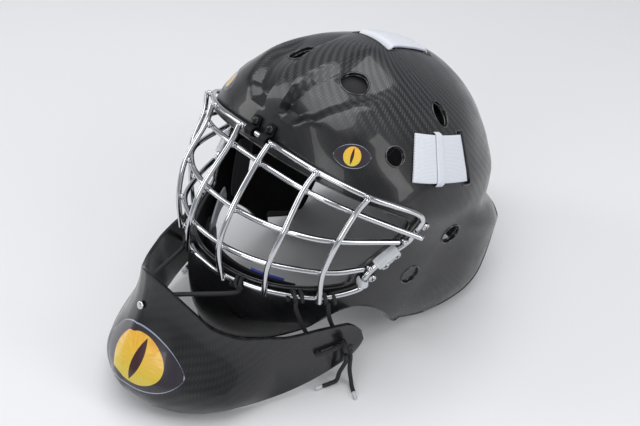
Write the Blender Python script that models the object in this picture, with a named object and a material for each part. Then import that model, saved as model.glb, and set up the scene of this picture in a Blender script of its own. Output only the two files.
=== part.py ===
"""Goalie mask: composite shell, wire cage, back plate, pads, harness and a laced-on throat guard.

The mask is shown as it is put down: pitched back, resting on the rear of its jaw and on the
throat guard. +Z is up, the wearer faces -Y and the wearer's left is +X. The floor is Z = 0.
Most pieces are drawn in the mask's own upright frame, whose origin is the middle of the face
opening, and hang from an empty that pitches that frame back.
"""

import math

import bmesh
import bpy
import numpy as np
from mathutils import Matrix, Vector

# ---------------------------------------------------------------- driving dimensions, metres
PITCH = math.radians(24)          # how far the mask leans back
MASK_HEIGHT = 0.110               # face centre above the floor
MASK_SHIFT = 0.0294               # centres the whole object over the origin
SHELL_WALL = 0.0030
GAP = 0.0004                      # clearance between touching pieces
WIRE_RADIUS = 0.0024
STRAP_WIDTH = 0.038
STRAP_THICK = 0.0022
GUARD_WALL = 0.0032
LACE_RADIUS = 0.0019
EAR_HOLE_RADIUS = 0.0100
VENT_RADIUS = 0.0120

# The shell's horizontal sections, from the chin up to the crown, in the mask frame.
LEVELS = [-.130, -.110, -.085, -.055, -.025, .005, .022, .040, .060, .085, .105, .122, .134, .142, .147, .149]
HALF_WIDTH = [.052, .076, .096, .107, .1115, .114, .1170, .1205, .1165, .103, .089, .070, .050, .031, .014, 0]
FRONT = [-.094, -.107, -.112, -.113, -.111, -.107, -.103, -.100, -.099, -.0985, -.090, -.070, -.047, -.025,
         -.002, .018]
REAR = [.165, .170, .172, .172, .170, .167, .163, .159, .159, .151, .137, .118, .097, .075, .045, .018]
WIDEST = [.060, .060, .060, .060, .045, .030, .020, .010, .010, .010, .011, .013, .015, .017, .018, .018]
FRONT_POWER = [2.2, 2.2, 2.2, 2.2, 2.25, 2.3, 2.45, 2.6, 2.5, 2.2, 2.0, 2.0, 2.0, 2.0, 2.0, 2.0]
REAR_POWER = [2.6, 2.6, 2.6, 2.6, 2.6, 2.6, 2.6, 2.2, 2.2, 2.1, 2.0, 2.0, 2.0, 2.0, 2.0, 2.0]

# Side view (y, z) of the face opening's edge and of the shell's lower edge.
FACE_EDGE = [(-.200, .056), (-.100, .0485), (-.040, .039), (-.030, .035), (-.0265, .028), (-.0260, .013),
             (-.0345, -.004), (-.0430, -.019), (-.0460, -.029), (-.050, -.039), (-.100, -.054), (-.200, -.066)]
LOWER_EDGE = [(-.200, -.118), (-.100, -.124), (-.074, -.118), (-.058, -.098), (-.046, -.074), (-.034, -.062),
              (-.014, -.060), (.012, -.070), (.036, -.086), (.060, -.0920), (.086, -.0810), (.100, -.0735),
              (.116, -.052), (.134, -.012), (.138, .0213), (.300, .0217)]
# Rear view (x, z) of the opening that the back plate closes.
REAR_ARCH = [(.007, .1055), (.022, .103), (.042, .092), (.054, .074), (.060, .050), (.062, .024), (.076, .006),
             (.090, -.020), (.096, -.060), (.098, -.150)]

# Throat guard, half of each edge from the middle to the end, relative to the face centre.
GUARD_TOP = [(0, -.189, .018), (.010, -.187, .015), (.020, -.182, .006), (.030, -.177, -.004),
             (.040, -.172, -.014), (.050, -.167, -.024), (.060, -.159, -.030), (.070, -.149, -.034),
             (.080, -.134, -.0355), (.090, -.118, -.038), (.100, -.091, -.040), (.107, -.055, -.050)]
GUARD_BOTTOM = [(0, -.211, -.110), (.030, -.207, -.110), (.055, -.186, -.110), (.077, -.151, -.106),
                (.094, -.112, -.099), (.104, -.072, -.090), (.108, -.050, -.080)]
GUARD_BULGE = [(0, .027), (.20, .018), (.40, .0145), (.60, -.002), (1, .002)]     # swell along the half length
GUARD_BULGE_LOW = 2.2             # how far down the swell peaks: 1 is half way, more is lower
GUARD_END = 0.93                  # fraction of the half length where the round end starts
GUARD_HOLES = [("lace_hole_inner", .78, .45), ("lace_hole_outer", .90, .45)]
RIVET_PLACE = .24                 # share of the way down the guard's middle
GUARD_HINGE = (0, -.065, -.068)

# Holes through the shell on each side: heading in degrees, height, radius, stretch upwards.
SHELL_HOLES = {"forehead_vent": (28.5, .126, .0120, 1), "temple_hole": (59, .082, .0085, 1),
               "rear_top_hole": (89.5, .113, .0085, 1.4), "ear_hole_upper": (98, .016, .0100, 1),
               "ear_hole_lower": (73.5, -.025, .0095, 1)}
CROWN_SLOTS = (.0, .052)          # y of the two slots of the crown strap
SLOT_HALF = .0055
SIDE_SLOT = (100.2, 106.4)        # headings of the side strap's slot, degrees
SIDE_STRAP = (.066, .099)         # heights between which the side strap runs
LOWER_STRAP = (-.038, -.014)
SLING_WIDTH = .016
CHIN_SLING = [(29, -.072, .0136), (34, -.068, .0110), (39, -.061, .0080), (44, -.054, .0056), (48, -.050, .0046)]

# Cage. Crossbars: middle y, its square and fourth-power terms, middle z, rise, crossing on the cheek wire.
WIRE_STANDOFF = WIRE_RADIUS + .0016
CHEEK_WIRE = [(-.0300, .0440), (-.0210, .0385), (-.0200, .0280), (-.0192, .0161), (-.0274, .0019),
              (-.0358, -.0148), (-.0386, -.0259), (-.0375, -.0370)]
BROW_X, BROW_Z, BROW_DROP = (0, .03, .062, .096, .108), .058, -.85
CHIN_X, CHIN_Z, CHIN_RISE = (.080, .052, .021, 0), -.0608, 1.5
CROSSBARS = {"upper": (-.109, .021, .023, .0415, -.008), "middle": (-.1235, .030, .028, .0015, .007),
             "lower": (-.126, .040, .040, -.032, .010)}
BUTT_ENDS = {"middle": (-.0192, .0155), "lower": (-.0358, -.0152)}     # where these bars stop at the cheek wire
UPRIGHTS = {"inner": (.018, .017, .019, .019, .021), "middle": (.062, .0605, .062, .0575, .052),
            "outer": (.096, .0935, .091, .085, .080)}
CLIP_THICK = .0014
CLIP_TAB = .0125
# Clips: middle of the wire that each holds, length, way to its tab, shares of the length where it is screwed.
CLIPS = [("top", (.0085, -.103, .058), .008, (0, 0, 1), {"top_clip": .5}),
         ("side", (.109, -.0290, -.0025), .022, (0, 1, 0), {"side_clip_upper": .2, "side_clip_lower": .8}),
         ("lower", (.101, -.0385, -.029), .006, (0, 1, 0), {"lower_clip": .5})]
SCREW_RADIUS = .0036
SCREW_REACH = .0085               # from the wire's centre to a clip's screw
CORNER_SCREW = (-.0070, .0290)

# Lining: heading and height ranges with the depths of its two faces below the shell's outer face.
PADS = [("forehead_pad", np.linspace(-48, 48, 13), np.linspace(.056, .0745, 4), .0045, .0160, "foam"),
        ("sweatband", np.linspace(-42, 42, 13), np.linspace(.058, .0725, 3), .0168, .0188, "lining"),
        ("chin_cup", np.linspace(-27, 27, 9), np.linspace(-.090, -.054, 5), .0120, .0150, "plastic"),
        ("chin_pad", np.linspace(-24, 24, 9), np.linspace(-.086, -.058, 4), .0162, .0245, "foam")]
# Back plate: half width at each height.
PLATE_OUTLINE = [(-.040, .062), (-.033, .071), (-.018, .0755), (.003, .068), (.024, .0565), (.050, .0545),
                 (.072, .0485), (.088, .0385), (.099, .0200)]
PLATE_HINGE = (0, .138, .103)

# Laces, relative to the face centre.
LACE_HOLE = .0030
KNOT_RADIUS = .0048
KNOT_HEIGHT = .0065
TIP_LENGTH = .008
# A loose end: how far to the side it leaves the knot, then its later points: x, y, height of its middle above where it lies on the floor.
TAILS = {"front": (-.0026, [(.1085, -.0790, .014), (.1065, -.0805, .003), (.1035, -.0860, 0), (.1015, -.0920, 0)]),
         "rear": (.0026, [(.1115, -.0700, .014), (.1140, -.0705, .003), (.1185, -.0735, 0), (.1235, -.0765, 0)])}
SIDES = ((1, "left"), (-1, "right"))


# ---------------------------------------------------------------- numbers and curves
def smooth_table(keys, values):
    """A monotone cubic through the key points, as a function."""
    x, y = np.array(keys, float), np.array(values, float)
    step = np.diff(x)
    slope = np.diff(y) / step
    product = slope[:-1] * slope[1:]
    total = slope[:-1] + slope[1:]
    tangent = np.empty_like(y)
    tangent[1:-1] = np.where(product > 0, 2 * product / np.where(total == 0, 1, total), 0)
    tangent[0], tangent[-1] = slope[0], slope[-1]

    def curve(at):
        at = np.clip(np.asarray(at, float), x[0], x[-1])
        i = np.clip(np.searchsorted(x, at) - 1, 0, len(step) - 1)
        t = (at - x[i]) / step[i]
        rise = y[i] * (1 + 2 * t) * (1 - t) ** 2 + y[i + 1] * t * t * (3 - 2 * t)
        return rise + step[i] * (tangent[i] * t * (1 - t) ** 2 - tangent[i + 1] * t * t * (1 - t))

    return curve


def between(a, b, c, d, t):
    """A point of the Catmull-Rom curve from b to c, a share t of the way."""
    return 0.5 * (2 * b + (c - a) * t + (2 * a - 5 * b + 4 * c - d) * t**2 + (3 * b - a - 3 * c + d) * t**3)


def smooth_path(points, count):
    """Points evenly spread along a Catmull-Rom curve through the given points."""
    p = np.array(points, float)
    p = np.vstack([2 * p[0] - p[1], p, 2 * p[-1] - p[-2]])
    dense = []
    for i in range(1, len(p) - 2):
        dense += [between(*p[i - 1:i + 3], t) for t in np.linspace(0, 1, 24, endpoint=False)]
    dense.append(p[-2])
    dense = np.array(dense)
    walked = np.concatenate([[0], np.cumsum(np.linalg.norm(np.diff(dense, axis=0), axis=1))])
    at = np.linspace(0, walked[-1], count)
    return np.column_stack([np.interp(at, walked, dense[:, k]) for k in range(dense.shape[1])])


def smoothstep(low, high, value):
    t = np.clip((value - low) / (high - low), 0, 1)
    return t * t * (3 - 2 * t)


half_width = smooth_table(LEVELS, HALF_WIDTH)
front_y = smooth_table(LEVELS, FRONT)
rear_y = smooth_table(LEVELS, REAR)
widest_y = smooth_table(LEVELS, WIDEST)
front_power = smooth_table(LEVELS, FRONT_POWER)
rear_power = smooth_table(LEVELS, REAR_POWER)


# ---------------------------------------------------------------- the shell's surface
def base_point(turn, z):
    """The smooth shell at a heading (0 = front, +90 degrees = wearer's left) and a height."""
    turn, z = np.broadcast_arrays(np.asarray(turn, float), np.asarray(z, float))
    sine, cosine = np.sin(turn), np.cos(turn)
    ahead = cosine >= 0
    depth = np.where(ahead, widest_y(z) - front_y(z), rear_y(z) - widest_y(z)) + 1e-9
    power = np.where(ahead, front_power(z), rear_power(z))
    spread = (np.abs(sine) / (half_width(z) + 1e-9)) ** power + (np.abs(cosine) / depth) ** power
    radius = spread ** (-1 / power)
    return np.stack([radius * sine, widest_y(z) - radius * cosine, z], -1)


def scoop_depth(p):
    """How far the two vent scoops beside the crown's centre band are sunk."""
    x, y, z = np.abs(p[..., 0]), p[..., 1], p[..., 2]
    inner = np.interp(y, [-.100, -.086, -.053, -.009, .030], [.008, .009, .014, .013, .014])
    outer = np.interp(y, [-.103, -.098, -.090, -.072, -.044, .014], [.016, .027, .043, .055, .064, .066])
    across = (x - inner) / (outer - inner)
    bowl = smoothstep(0, .16, across) * (1 - smoothstep(.74, 1, across))
    return .0095 * bowl * smoothstep(.077, .086, z) * (1 - smoothstep(-.050, -.012, y))


def flare_height(p):
    """How far the jaw stands out behind the ear, below the crease."""
    y, z = p[..., 1], p[..., 2]
    crease = np.interp(y, [-.02, .13], [.046, .030])
    below = 1 - smoothstep(-.016, .004, z - crease)
    return .013 * below * smoothstep(.03, .13, y) * smoothstep(-.10, -.03, z)


def shell_point(turn, z, inwards=0.0, plain=False):
    """A point of the shell's outer face, or one set inwards from it along the surface normal."""
    turn, z = np.broadcast_arrays(np.asarray(turn, float), np.asarray(z, float))
    step = 1e-4
    low, high = np.maximum(z - step, LEVELS[0]), np.minimum(z + step, LEVELS[-1] - 1e-6)
    along = base_point(turn + step, z) - base_point(turn - step, z)
    up = base_point(turn, high) - base_point(turn, low)
    normal = np.cross(along, up)
    normal /= np.linalg.norm(normal, axis=-1, keepdims=True) + 1e-12
    p = base_point(turn, z)
    relief = 0 * z if plain else flare_height(p) - scoop_depth(p)
    return p + normal * (relief - inwards)[..., None]


def front_of_shell(x, z):
    """The y of the shell's front at a sideways place and a height."""
    reach = (1 - np.abs(x / half_width(z)) ** front_power(z)) ** (1 / front_power(z))
    return widest_y(z) - (widest_y(z) - front_y(z)) * reach


def side_of_shell(y, z):
    """The x of the shell's side at a front-to-back place and a height."""
    ahead = y < widest_y(z)
    depth = np.where(ahead, widest_y(z) - front_y(z), rear_y(z) - widest_y(z))
    power = np.where(ahead, front_power(z), rear_power(z))
    return half_width(z) * (1 - np.abs((y - widest_y(z)) / depth) ** power) ** (1 / power)


def rear_of_shell(x, z):
    """The y of the shell's rear at a sideways place and a height."""
    reach = (1 - np.abs(x / half_width(z)) ** rear_power(z)) ** (1 / rear_power(z))
    return widest_y(z) + (rear_y(z) - widest_y(z)) * reach


def top_of_shell(x, y):
    """The height of the crown over a point of the plan, found by halving."""
    x, y = np.broadcast_arrays(np.asarray(x, float), np.asarray(y, float))
    low, high = np.full(x.shape, .05), np.full(x.shape, LEVELS[-1] - 1e-6)
    for _ in range(40):
        middle = (low + high) / 2
        ahead = y < widest_y(middle)
        depth = np.where(ahead, widest_y(middle) - front_y(middle), rear_y(middle) - widest_y(middle))
        power = np.where(ahead, front_power(middle), rear_power(middle))
        spread = (np.abs(x) / half_width(middle)) ** power
        inside = spread + (np.abs(y - widest_y(middle)) / depth) ** power < 1
        low, high = np.where(inside, middle, low), np.where(inside, high, middle)
    return low


def off_front(x, z, away):
    """A point standing off the shell's front, at a sideways place and a height."""
    return shell_point(np.arctan2(x, widest_y(z) - front_of_shell(x, z)), z, -away, plain=True)


def off_side(y, z, away):
    """A point standing off the shell's left side, at a front-to-back place and a height."""
    return shell_point(np.arctan2(side_of_shell(y, z), widest_y(z) - y), z, -away, plain=True)


# ---------------------------------------------------------------- objects and materials
def clear_scene():
    for obj in list(bpy.data.objects):
        bpy.data.objects.remove(obj, do_unlink=True)


def material(name, colour, roughness, metallic=0.0):
    finish = bpy.data.materials.new(name)
    finish.use_nodes = True
    shader = finish.node_tree.nodes["Principled BSDF"]
    shader.inputs["Base Color"].default_value = (*colour, 1)
    shader.inputs["Roughness"].default_value = roughness
    shader.inputs["Metallic"].default_value = metallic
    finish.diffuse_color = (*colour, 1)
    return finish


def add_object(name, data, parent, finish):
    obj = bpy.data.objects.new(name, data)
    bpy.context.scene.collection.objects.link(obj)
    obj.parent = parent
    if finish:
        data.materials.append(finish)
    return obj


def add_mesh(name, points, faces, parent, finish):
    """A mesh drawn in its parent's parent frame: the parent empty's own place is taken off."""
    data = bpy.data.meshes.new(name)
    offset = pivot_offset(parent)
    data.from_pydata([tuple(p) for p in np.asarray(points, float) - offset], [], faces)
    work = bmesh.new()
    work.from_mesh(data)
    bmesh.ops.recalc_face_normals(work, faces=work.faces)
    work.to_mesh(data)
    work.free()
    data.shade_smooth()
    data.set_sharp_from_angle(angle=math.radians(40))
    return add_object(name, data, parent, finish)


def pivot_offset(parent):
    """A pivot empty stands on its hinge, so what hangs from it is drawn relative to the hinge."""
    return np.array(parent.location) if parent.name.endswith("_pivot") else np.zeros(3)


def add_empty(name, location, parent=None, pitch=0.0):
    empty = bpy.data.objects.new(name, None)
    bpy.context.scene.collection.objects.link(empty)
    empty.location = location
    empty.rotation_euler = (pitch, 0, 0)
    empty.parent = parent
    return empty


def add_tube(name, points, radius, parent, finish, closed=False, rings=2):
    """A round bar or cord along the points: 4 + 2 * rings sides, with filled ends."""
    data = bpy.data.curves.new(name, "CURVE")
    data.dimensions = "3D"
    spline = data.splines.new("POLY")
    points = np.asarray(points, float) - pivot_offset(parent)
    spline.points.add(len(points) - 1)
    for slot, p in zip(spline.points, points):
        slot.co = (*p, 1)
    spline.use_cyclic_u = closed
    data.bevel_depth = radius
    data.bevel_resolution = rings
    data.use_fill_caps = True
    return add_object(name, data, parent, finish)


def sheet_faces(rows, columns, wrap=False):
    """Faces of a closed slab whose outer and inner skins are grids of rows x columns points."""
    skin = rows * columns
    faces = []
    last = columns if wrap else columns - 1
    for i in range(rows - 1):
        for j in range(last):
            a, b = i * columns + j, i * columns + (j + 1) % columns
            c, d = b + columns, a + columns
            faces.append((a, b, c, d))
            faces.append((skin + d, skin + c, skin + b, skin + a))
    for j in range(last):
        a, b = j, (j + 1) % columns
        faces.append((b, a, skin + a, skin + b))
        c, d = (rows - 1) * columns + j, (rows - 1) * columns + (j + 1) % columns
        faces.append((c, d, skin + d, skin + c))
    if not wrap:
        for i in range(rows - 1):
            a, b = i * columns, (i + 1) * columns
            faces.append((a, b, skin + b, skin + a))
            c, d = a + columns - 1, b + columns - 1
            faces.append((d, c, skin + c, skin + d))
    return faces


def add_slab(name, outer, inner, parent, finish, wrap=False):
    """A closed slab between two (rows, columns, 3) skins."""
    rows, columns = outer.shape[:2]
    points = np.concatenate([outer.reshape(-1, 3), inner.reshape(-1, 3)])
    return add_mesh(name, points, sheet_faces(rows, columns, wrap), parent, finish)


def add_cap(name, outer, inner, parent, finish):
    """A closed bowl: two skins of rings, whose last rings are points at the pole."""
    rows, columns = outer.shape[:2]
    points = list(outer[:-1].reshape(-1, 3)) + list(inner[:-1].reshape(-1, 3))
    points += [outer[-1, 0], inner[-1, 0]]
    skin, rings = (rows - 1) * columns, rows - 1
    faces = []
    for i in range(rings - 1):
        for j in range(columns):
            a, b = i * columns + j, i * columns + (j + 1) % columns
            faces.append((a, b, b + columns, a + columns))
            faces.append((skin + a + columns, skin + b + columns, skin + b, skin + a))
    top, under = 2 * skin, 2 * skin + 1
    for j in range(columns):
        a, b = (rings - 1) * columns + j, (rings - 1) * columns + (j + 1) % columns
        faces.append((a, b, top))
        faces.append((skin + b, skin + a, under))
        a, b = j, (j + 1) % columns
        faces.append((b, a, skin + a, skin + b))
    return add_mesh(name, points, faces, parent, finish)


def add_disc(name, centre, normal, radius, height, parent, finish, sides=10):
    """A short round post standing on its centre point along a normal."""
    normal = Vector(normal).normalized()
    turn = normal.to_track_quat("Z", "Y").to_matrix()
    ring = [turn @ Vector((radius * math.cos(k * math.tau / sides), radius * math.sin(k * math.tau / sides), 0))
            for k in range(sides)]
    base = Vector(centre)
    points = [base + p for p in ring] + [base + p + normal * height for p in ring]
    faces = [tuple(range(sides))[::-1], tuple(range(sides, 2 * sides))]
    faces += [(k, (k + 1) % sides, (k + 1) % sides + sides, k + sides) for k in range(sides)]
    return add_mesh(name, points, faces, parent, finish)


def prism(name, outline, axis, low, high, parent):
    """A hidden cutter: an outline in the plane across an axis, swept along that axis."""
    slot = "XYZ".index(axis)
    ends = [(*point[:slot], at, *point[slot:]) for at in (low, high) for point in outline]
    n = len(outline)
    faces = [tuple(range(n)), tuple(range(n, 2 * n))]
    faces += [(k, (k + 1) % n, (k + 1) % n + n, k + n) for k in range(n)]
    return hide_cutter(add_mesh(name, ends, faces, parent, None))


def hide_cutter(obj):
    obj.hide_render = True
    obj.display_type = "WIRE"
    return obj


def cut(obj, cutter):
    modifier = obj.modifiers.new(cutter.name, "BOOLEAN")
    modifier.operation = "DIFFERENCE"
    modifier.object = cutter


def hole_cutter(name, centre, normal, radius, parent, stretch=1.0, sides=16):
    """A hidden round or upright oval post through a wall, centred on the wall."""
    normal = Vector(normal).normalized()
    across = Vector((0, 0, 1)).cross(normal).normalized()
    rise = normal.cross(across)
    points = []
    for end in (-.012, .012):
        for k in range(sides):
            a = k * math.tau / sides
            spoke = across * radius * math.cos(a) + rise * radius * stretch * math.sin(a)
            points.append(Vector(centre) + normal * end + spoke)
    faces = [tuple(range(sides)), tuple(range(sides, 2 * sides))]
    faces += [(k, (k + 1) % sides, (k + 1) % sides + sides, k + sides) for k in range(sides)]
    return hide_cutter(add_mesh(name, points, faces, parent, None))


# ---------------------------------------------------------------- shell
def ring_heights():
    """Ring heights that crowd together towards the crown, where the shell turns over."""
    low = np.linspace(LEVELS[0], .020, 8)[:-1]
    crease = np.array([.020, .030, .037, .045])
    rise = np.sin(np.linspace(0, math.pi / 2, 11))[1:]
    return np.concatenate([low, crease, .045 + (LEVELS[-1] - .045) * rise])


def add_shell(frame, finish):
    turns = (np.arange(56) + .5) * math.tau / 56
    grid_turn, grid_z = np.meshgrid(turns, ring_heights())
    outer = shell_point(grid_turn, grid_z)
    inner = shell_point(grid_turn, grid_z, SHELL_WALL)
    outer[-1] = outer[-1].mean(0)
    inner[-1] = outer[-1] - (0, 0, SHELL_WALL)
    shell = add_cap("shell", outer, inner, frame, finish)
    below = LOWER_EDGE + [(.300, -.200), (-.200, -.200)]
    arch = REAR_ARCH + [(-x, z) for x, z in reversed(REAR_ARCH)]
    cut(shell, prism("rear_cutter", arch, "Y", .0437, .31, frame))
    cut(shell, prism("face_cutter", FACE_EDGE, "X", -.213, .213, frame))
    cut(shell, prism("lower_cutter", below, "X", -.213, .213, frame))
    for spot, (turn, z, radius, stretch) in SHELL_HOLES.items():
        for side, word in SIDES:
            heading = side * math.radians(turn)
            centre = shell_point(heading, z)
            normal = shell_point(heading, z, -1.0, plain=True) - base_point(heading, z)
            cut(shell, hole_cutter(f"{spot}_{word}_cutter", centre, normal, radius, frame, stretch))
    for end, y in zip(("front", "rear"), CROWN_SLOTS):
        reach = STRAP_WIDTH / 2 + .002
        slot = [(-reach, y - SLOT_HALF), (reach, y - SLOT_HALF), (reach, y + SLOT_HALF), (-reach, y + SLOT_HALF)]
        cut(shell, prism(f"crown_slot_{end}_cutter", slot, "Z", .10, .18, frame))
    for side, word in SIDES:
        corners = [(SIDE_SLOT[0], SIDE_STRAP[0] - .003), (SIDE_SLOT[1], SIDE_STRAP[0] - .003),
                   (SIDE_SLOT[1], SIDE_STRAP[1] + .003), (SIDE_SLOT[0], SIDE_STRAP[1] + .003)]
        slot = [(float(base_point(math.radians(turn), z)[1]), z) for turn, z in corners]
        low, high = sorted((side * .06, side * .15))
        cut(shell, prism(f"side_slot_{word}_cutter", slot, "X", low, high, frame))


# ---------------------------------------------------------------- cage
def bar_centre(level, x):
    """A crossbar's smooth curve: how far ahead and how high it is at a sideways place."""
    ahead, square, fourth, height, rise = CROSSBARS[level]
    u = np.abs(x) / .1
    return np.array([x, ahead + square * u**2 + fourth * u**4, height + rise * u**2])


def brow_wire(x):
    return off_front(x, BROW_Z + BROW_DROP * x**2, WIRE_STANDOFF)


def chin_wire(x):
    return off_front(x, CHIN_Z + CHIN_RISE * x**2, WIRE_STANDOFF)


def perimeter_half():
    """The perimeter wire's guide points on the wearer's left, from the brow down to the chin."""
    brow = [brow_wire(x) for x in BROW_X]
    cheek = [off_side(y, z, WIRE_STANDOFF) for y, z in CHEEK_WIRE]
    return brow + cheek + [chin_wire(x) for x in CHIN_X]


def plan_normal(path_at, x):
    """The forward normal, in plan, of a wire whose centre is path_at(x)."""
    step = path_at(x + 1e-4) - path_at(x - 1e-4)
    normal = np.array([step[1], -step[0], 0])
    return normal / np.linalg.norm(normal)


def perimeter_path(steps=3):
    """The closed perimeter wire's centre line, with this many points from one guide point to the next."""
    left = perimeter_half()
    guide = np.array(left + [p * (-1, 1, 1) for p in reversed(left[1:-1])])
    rolled = [np.roll(guide, shift, axis=0) for shift in (1, 0, -1, -2)]
    return np.stack([between(*rolled, k / steps) for k in range(steps)], axis=1).reshape(-1, 3)


def add_cage(frame, finish):
    add_tube("cage_perimeter", perimeter_path(), WIRE_RADIUS, frame, finish, closed=True, rings=1)
    layer = 2 * WIRE_RADIUS + 2 * GAP
    for level in CROSSBARS:
        half = [bar_centre(level, x) for x in (0, .03, .06, .088)]
        if level in BUTT_ENDS:
            y, z = BUTT_ENDS[level]
            half += [off_side(y - 2 * WIRE_RADIUS - 3 * GAP, z, WIRE_STANDOFF)]
        else:
            half += [off_side(CHEEK_WIRE[2][0] + ahead, CHEEK_WIRE[2][1], WIRE_STANDOFF + layer)
                     for ahead in (-.0005, .0015)]
        path = [p * (-1, 1, 1) for p in reversed(half[1:])] + half
        add_tube(f"cage_crossbar_{level}", smooth_path(path, 30), WIRE_RADIUS, frame, finish, rings=1)
    for spot, places in UPRIGHTS.items():
        rows = [brow_wire] + [lambda x, level=level: bar_centre(level, x) for level in CROSSBARS] + [chin_wire]
        points = [row(x) + plan_normal(row, x) * layer for row, x in zip(rows, places)]
        points = [points[0] + (0, .0002, .0015)] + points + [points[-1] + (0, .0003, -.0022)]
        path = smooth_path(points, 15)
        for side, word in SIDES:
            add_tube(f"cage_upright_{spot}_{word}", path * (side, 1, 1), WIRE_RADIUS, frame, finish, rings=1)


def saddle_section(tab):
    """A clip's section: a tab on the shell and a hook over the wire, in (away from wire, outwards)."""
    inner = WIRE_RADIUS + 2 * GAP
    outer = inner + CLIP_THICK
    low = GAP - WIRE_STANDOFF
    section = [(tab, low), (tab, low + CLIP_THICK), (outer, low + CLIP_THICK)]
    section += [(outer * math.cos(a), outer * math.sin(a)) for a in np.linspace(0, math.pi, 7)]
    section += [(-outer, low), (-inner, low)]
    section += [(inner * math.cos(a), inner * math.sin(a)) for a in np.linspace(math.pi, 0, 7)]
    return section + [(inner, low)]


def clip_axes(points, normals, away):
    """At each point of a held stretch of wire, the unit directions towards the clip's tab and off the shell."""
    normals = normals / np.linalg.norm(normals, axis=1, keepdims=True)
    across = np.cross(np.gradient(points, axis=0), normals)
    across *= np.sign(across @ away)[:, None] / np.linalg.norm(across, axis=1, keepdims=True)
    return across, normals


def add_clip(name, points, across, normals, frame, finish):
    """A saddle clip swept along a stretch of wire."""
    section = saddle_section(CLIP_TAB)
    corners = [p + a * s + n * h for p, a, n in zip(points, across, normals) for s, h in section]
    count = len(section)
    faces = [tuple(range(count)), tuple(range((len(points) - 1) * count, len(points) * count))]
    for i in range(len(points) - 1):
        for k in range(count):
            a, b = i * count + k, i * count + (k + 1) % count
            faces.append((a, b, b + count, a + count))
    add_mesh(name, corners, faces, frame, finish)


def stretch_of_wire(middle, length, count=4):
    """A stretch of the perimeter wire around a place, with the way the shell faces at each of its points."""
    wire = perimeter_path(24)
    walked = np.concatenate([[0], np.cumsum(np.linalg.norm(np.diff(wire, axis=0), axis=1))])
    nearest = walked[int(np.argmin(np.linalg.norm(wire - middle, axis=1)))]
    at = np.linspace(nearest - length / 2, nearest + length / 2, count)
    points = np.column_stack([np.interp(at, walked, wire[:, k]) for k in range(3)])
    turns = np.arctan2(points[:, 0], widest_y(points[:, 2]) - points[:, 1])
    normals = shell_point(turns, points[:, 2], -1.0, plain=True) - base_point(turns, points[:, 2])
    return points, normals


def add_clips(frame, finish, steel):
    for side, word in SIDES:
        turned = np.array([side, 1, 1])
        for spot, middle, length, away, screws in CLIPS:
            points, normals = stretch_of_wire(np.array(middle), length)
            across, normals = clip_axes(points, normals, np.array(away, float))
            points = points + normals * GAP
            add_clip(f"{spot}_clip_{word}", points * turned, across * turned, normals * turned, frame, finish)
            on_top = 2 * GAP - WIRE_STANDOFF + CLIP_THICK
            for screw, share in screws.items():
                at = share * (len(points) - 1)
                centre, sideways, outwards = [[np.interp(at, range(len(points)), v[:, k]) for k in range(3)]
                                              for v in (points, across, normals)]
                base = np.array(centre) + np.array(sideways) * SCREW_REACH + np.array(outwards) * on_top
                add_disc(f"{screw}_screw_{word}", base * turned, outwards * turned, SCREW_RADIUS, .0016, frame,
                         steel)
        base = off_side(*CORNER_SCREW, GAP) * turned
        normal = (off_side(*CORNER_SCREW, 1.0) - off_side(*CORNER_SCREW, 0)) * turned
        add_disc(f"corner_screw_{word}", base, normal, SCREW_RADIUS, .0016, frame, steel)


# ---------------------------------------------------------------- padding and straps
def patch(turns, heights, inwards, side=1):
    """A grid over the plain shell, set inwards; turns in degrees."""
    grid_turn, grid_z = np.meshgrid(side * np.radians(turns), heights)
    return shell_point(grid_turn, grid_z, inwards, plain=True)


def add_pads(frame, foam, lining, plastic):
    for name, turns, heights, near, far, finish in PADS:
        outer, inner = patch(turns, heights, near), patch(turns, heights, far)
        add_slab(name, outer, inner, frame, finish_of(finish, foam, lining, plastic))
    for side, word in SIDES:
        turns, heights = np.linspace(62, 110, 9), np.linspace(.031, .061, 4)
        add_slab(f"temple_pad_{word}", patch(turns, heights, .0045, side), patch(turns, heights, .017, side),
                 frame, foam)
        grid_y, grid_z = np.meshgrid([-.021, -.011, -.002], np.linspace(-.050, .006, 6))
        wall = [np.stack([side * (side_of_shell(grid_y, grid_z) - depth), grid_y, grid_z], -1)
                for depth in (.0048, .015)]
        add_slab(f"jaw_pad_{word}", wall[0], wall[1], frame, foam)
    heights = np.append(.118 + .030 * np.sin(np.linspace(0, math.pi / 2, 6))[:-1], LEVELS[-1])
    grid_turn, grid_z = np.meshgrid(np.linspace(0, math.tau, 22, endpoint=False), heights)
    skins = []
    for depth in (.0145, .0235):
        skin = shell_point(grid_turn, grid_z, depth, plain=True)
        skin[-1] = (0, skin[-1, :, 1].mean(), LEVELS[-1] - depth)
        skins.append(skin)
    add_cap("crown_pad", skins[0], skins[1], frame, foam)


def finish_of(name, foam, lining, plastic):
    return {"foam": foam, "lining": lining, "plastic": plastic}[name]


def outward_normals(grid):
    """Unit normals of a grid of points, pointing away from the middle of the head."""
    normal = np.cross(np.gradient(grid, axis=0), np.gradient(grid, axis=1))
    normal /= np.linalg.norm(normal, axis=-1, keepdims=True)
    facing = ((grid - (0, .03, .03)) * normal).sum(-1, keepdims=True)
    return normal * np.sign(facing)


def add_band(name, surface, lifts, frame, finish, thick=STRAP_THICK):
    """Flat webbing over a grid of surface points, its middle lifted off row by row."""
    middle = surface + outward_normals(surface) * np.array(lifts)[:, None, None]
    normal = outward_normals(middle)
    add_slab(name, middle + normal * thick / 2, middle - normal * thick / 2, frame, finish)


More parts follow.
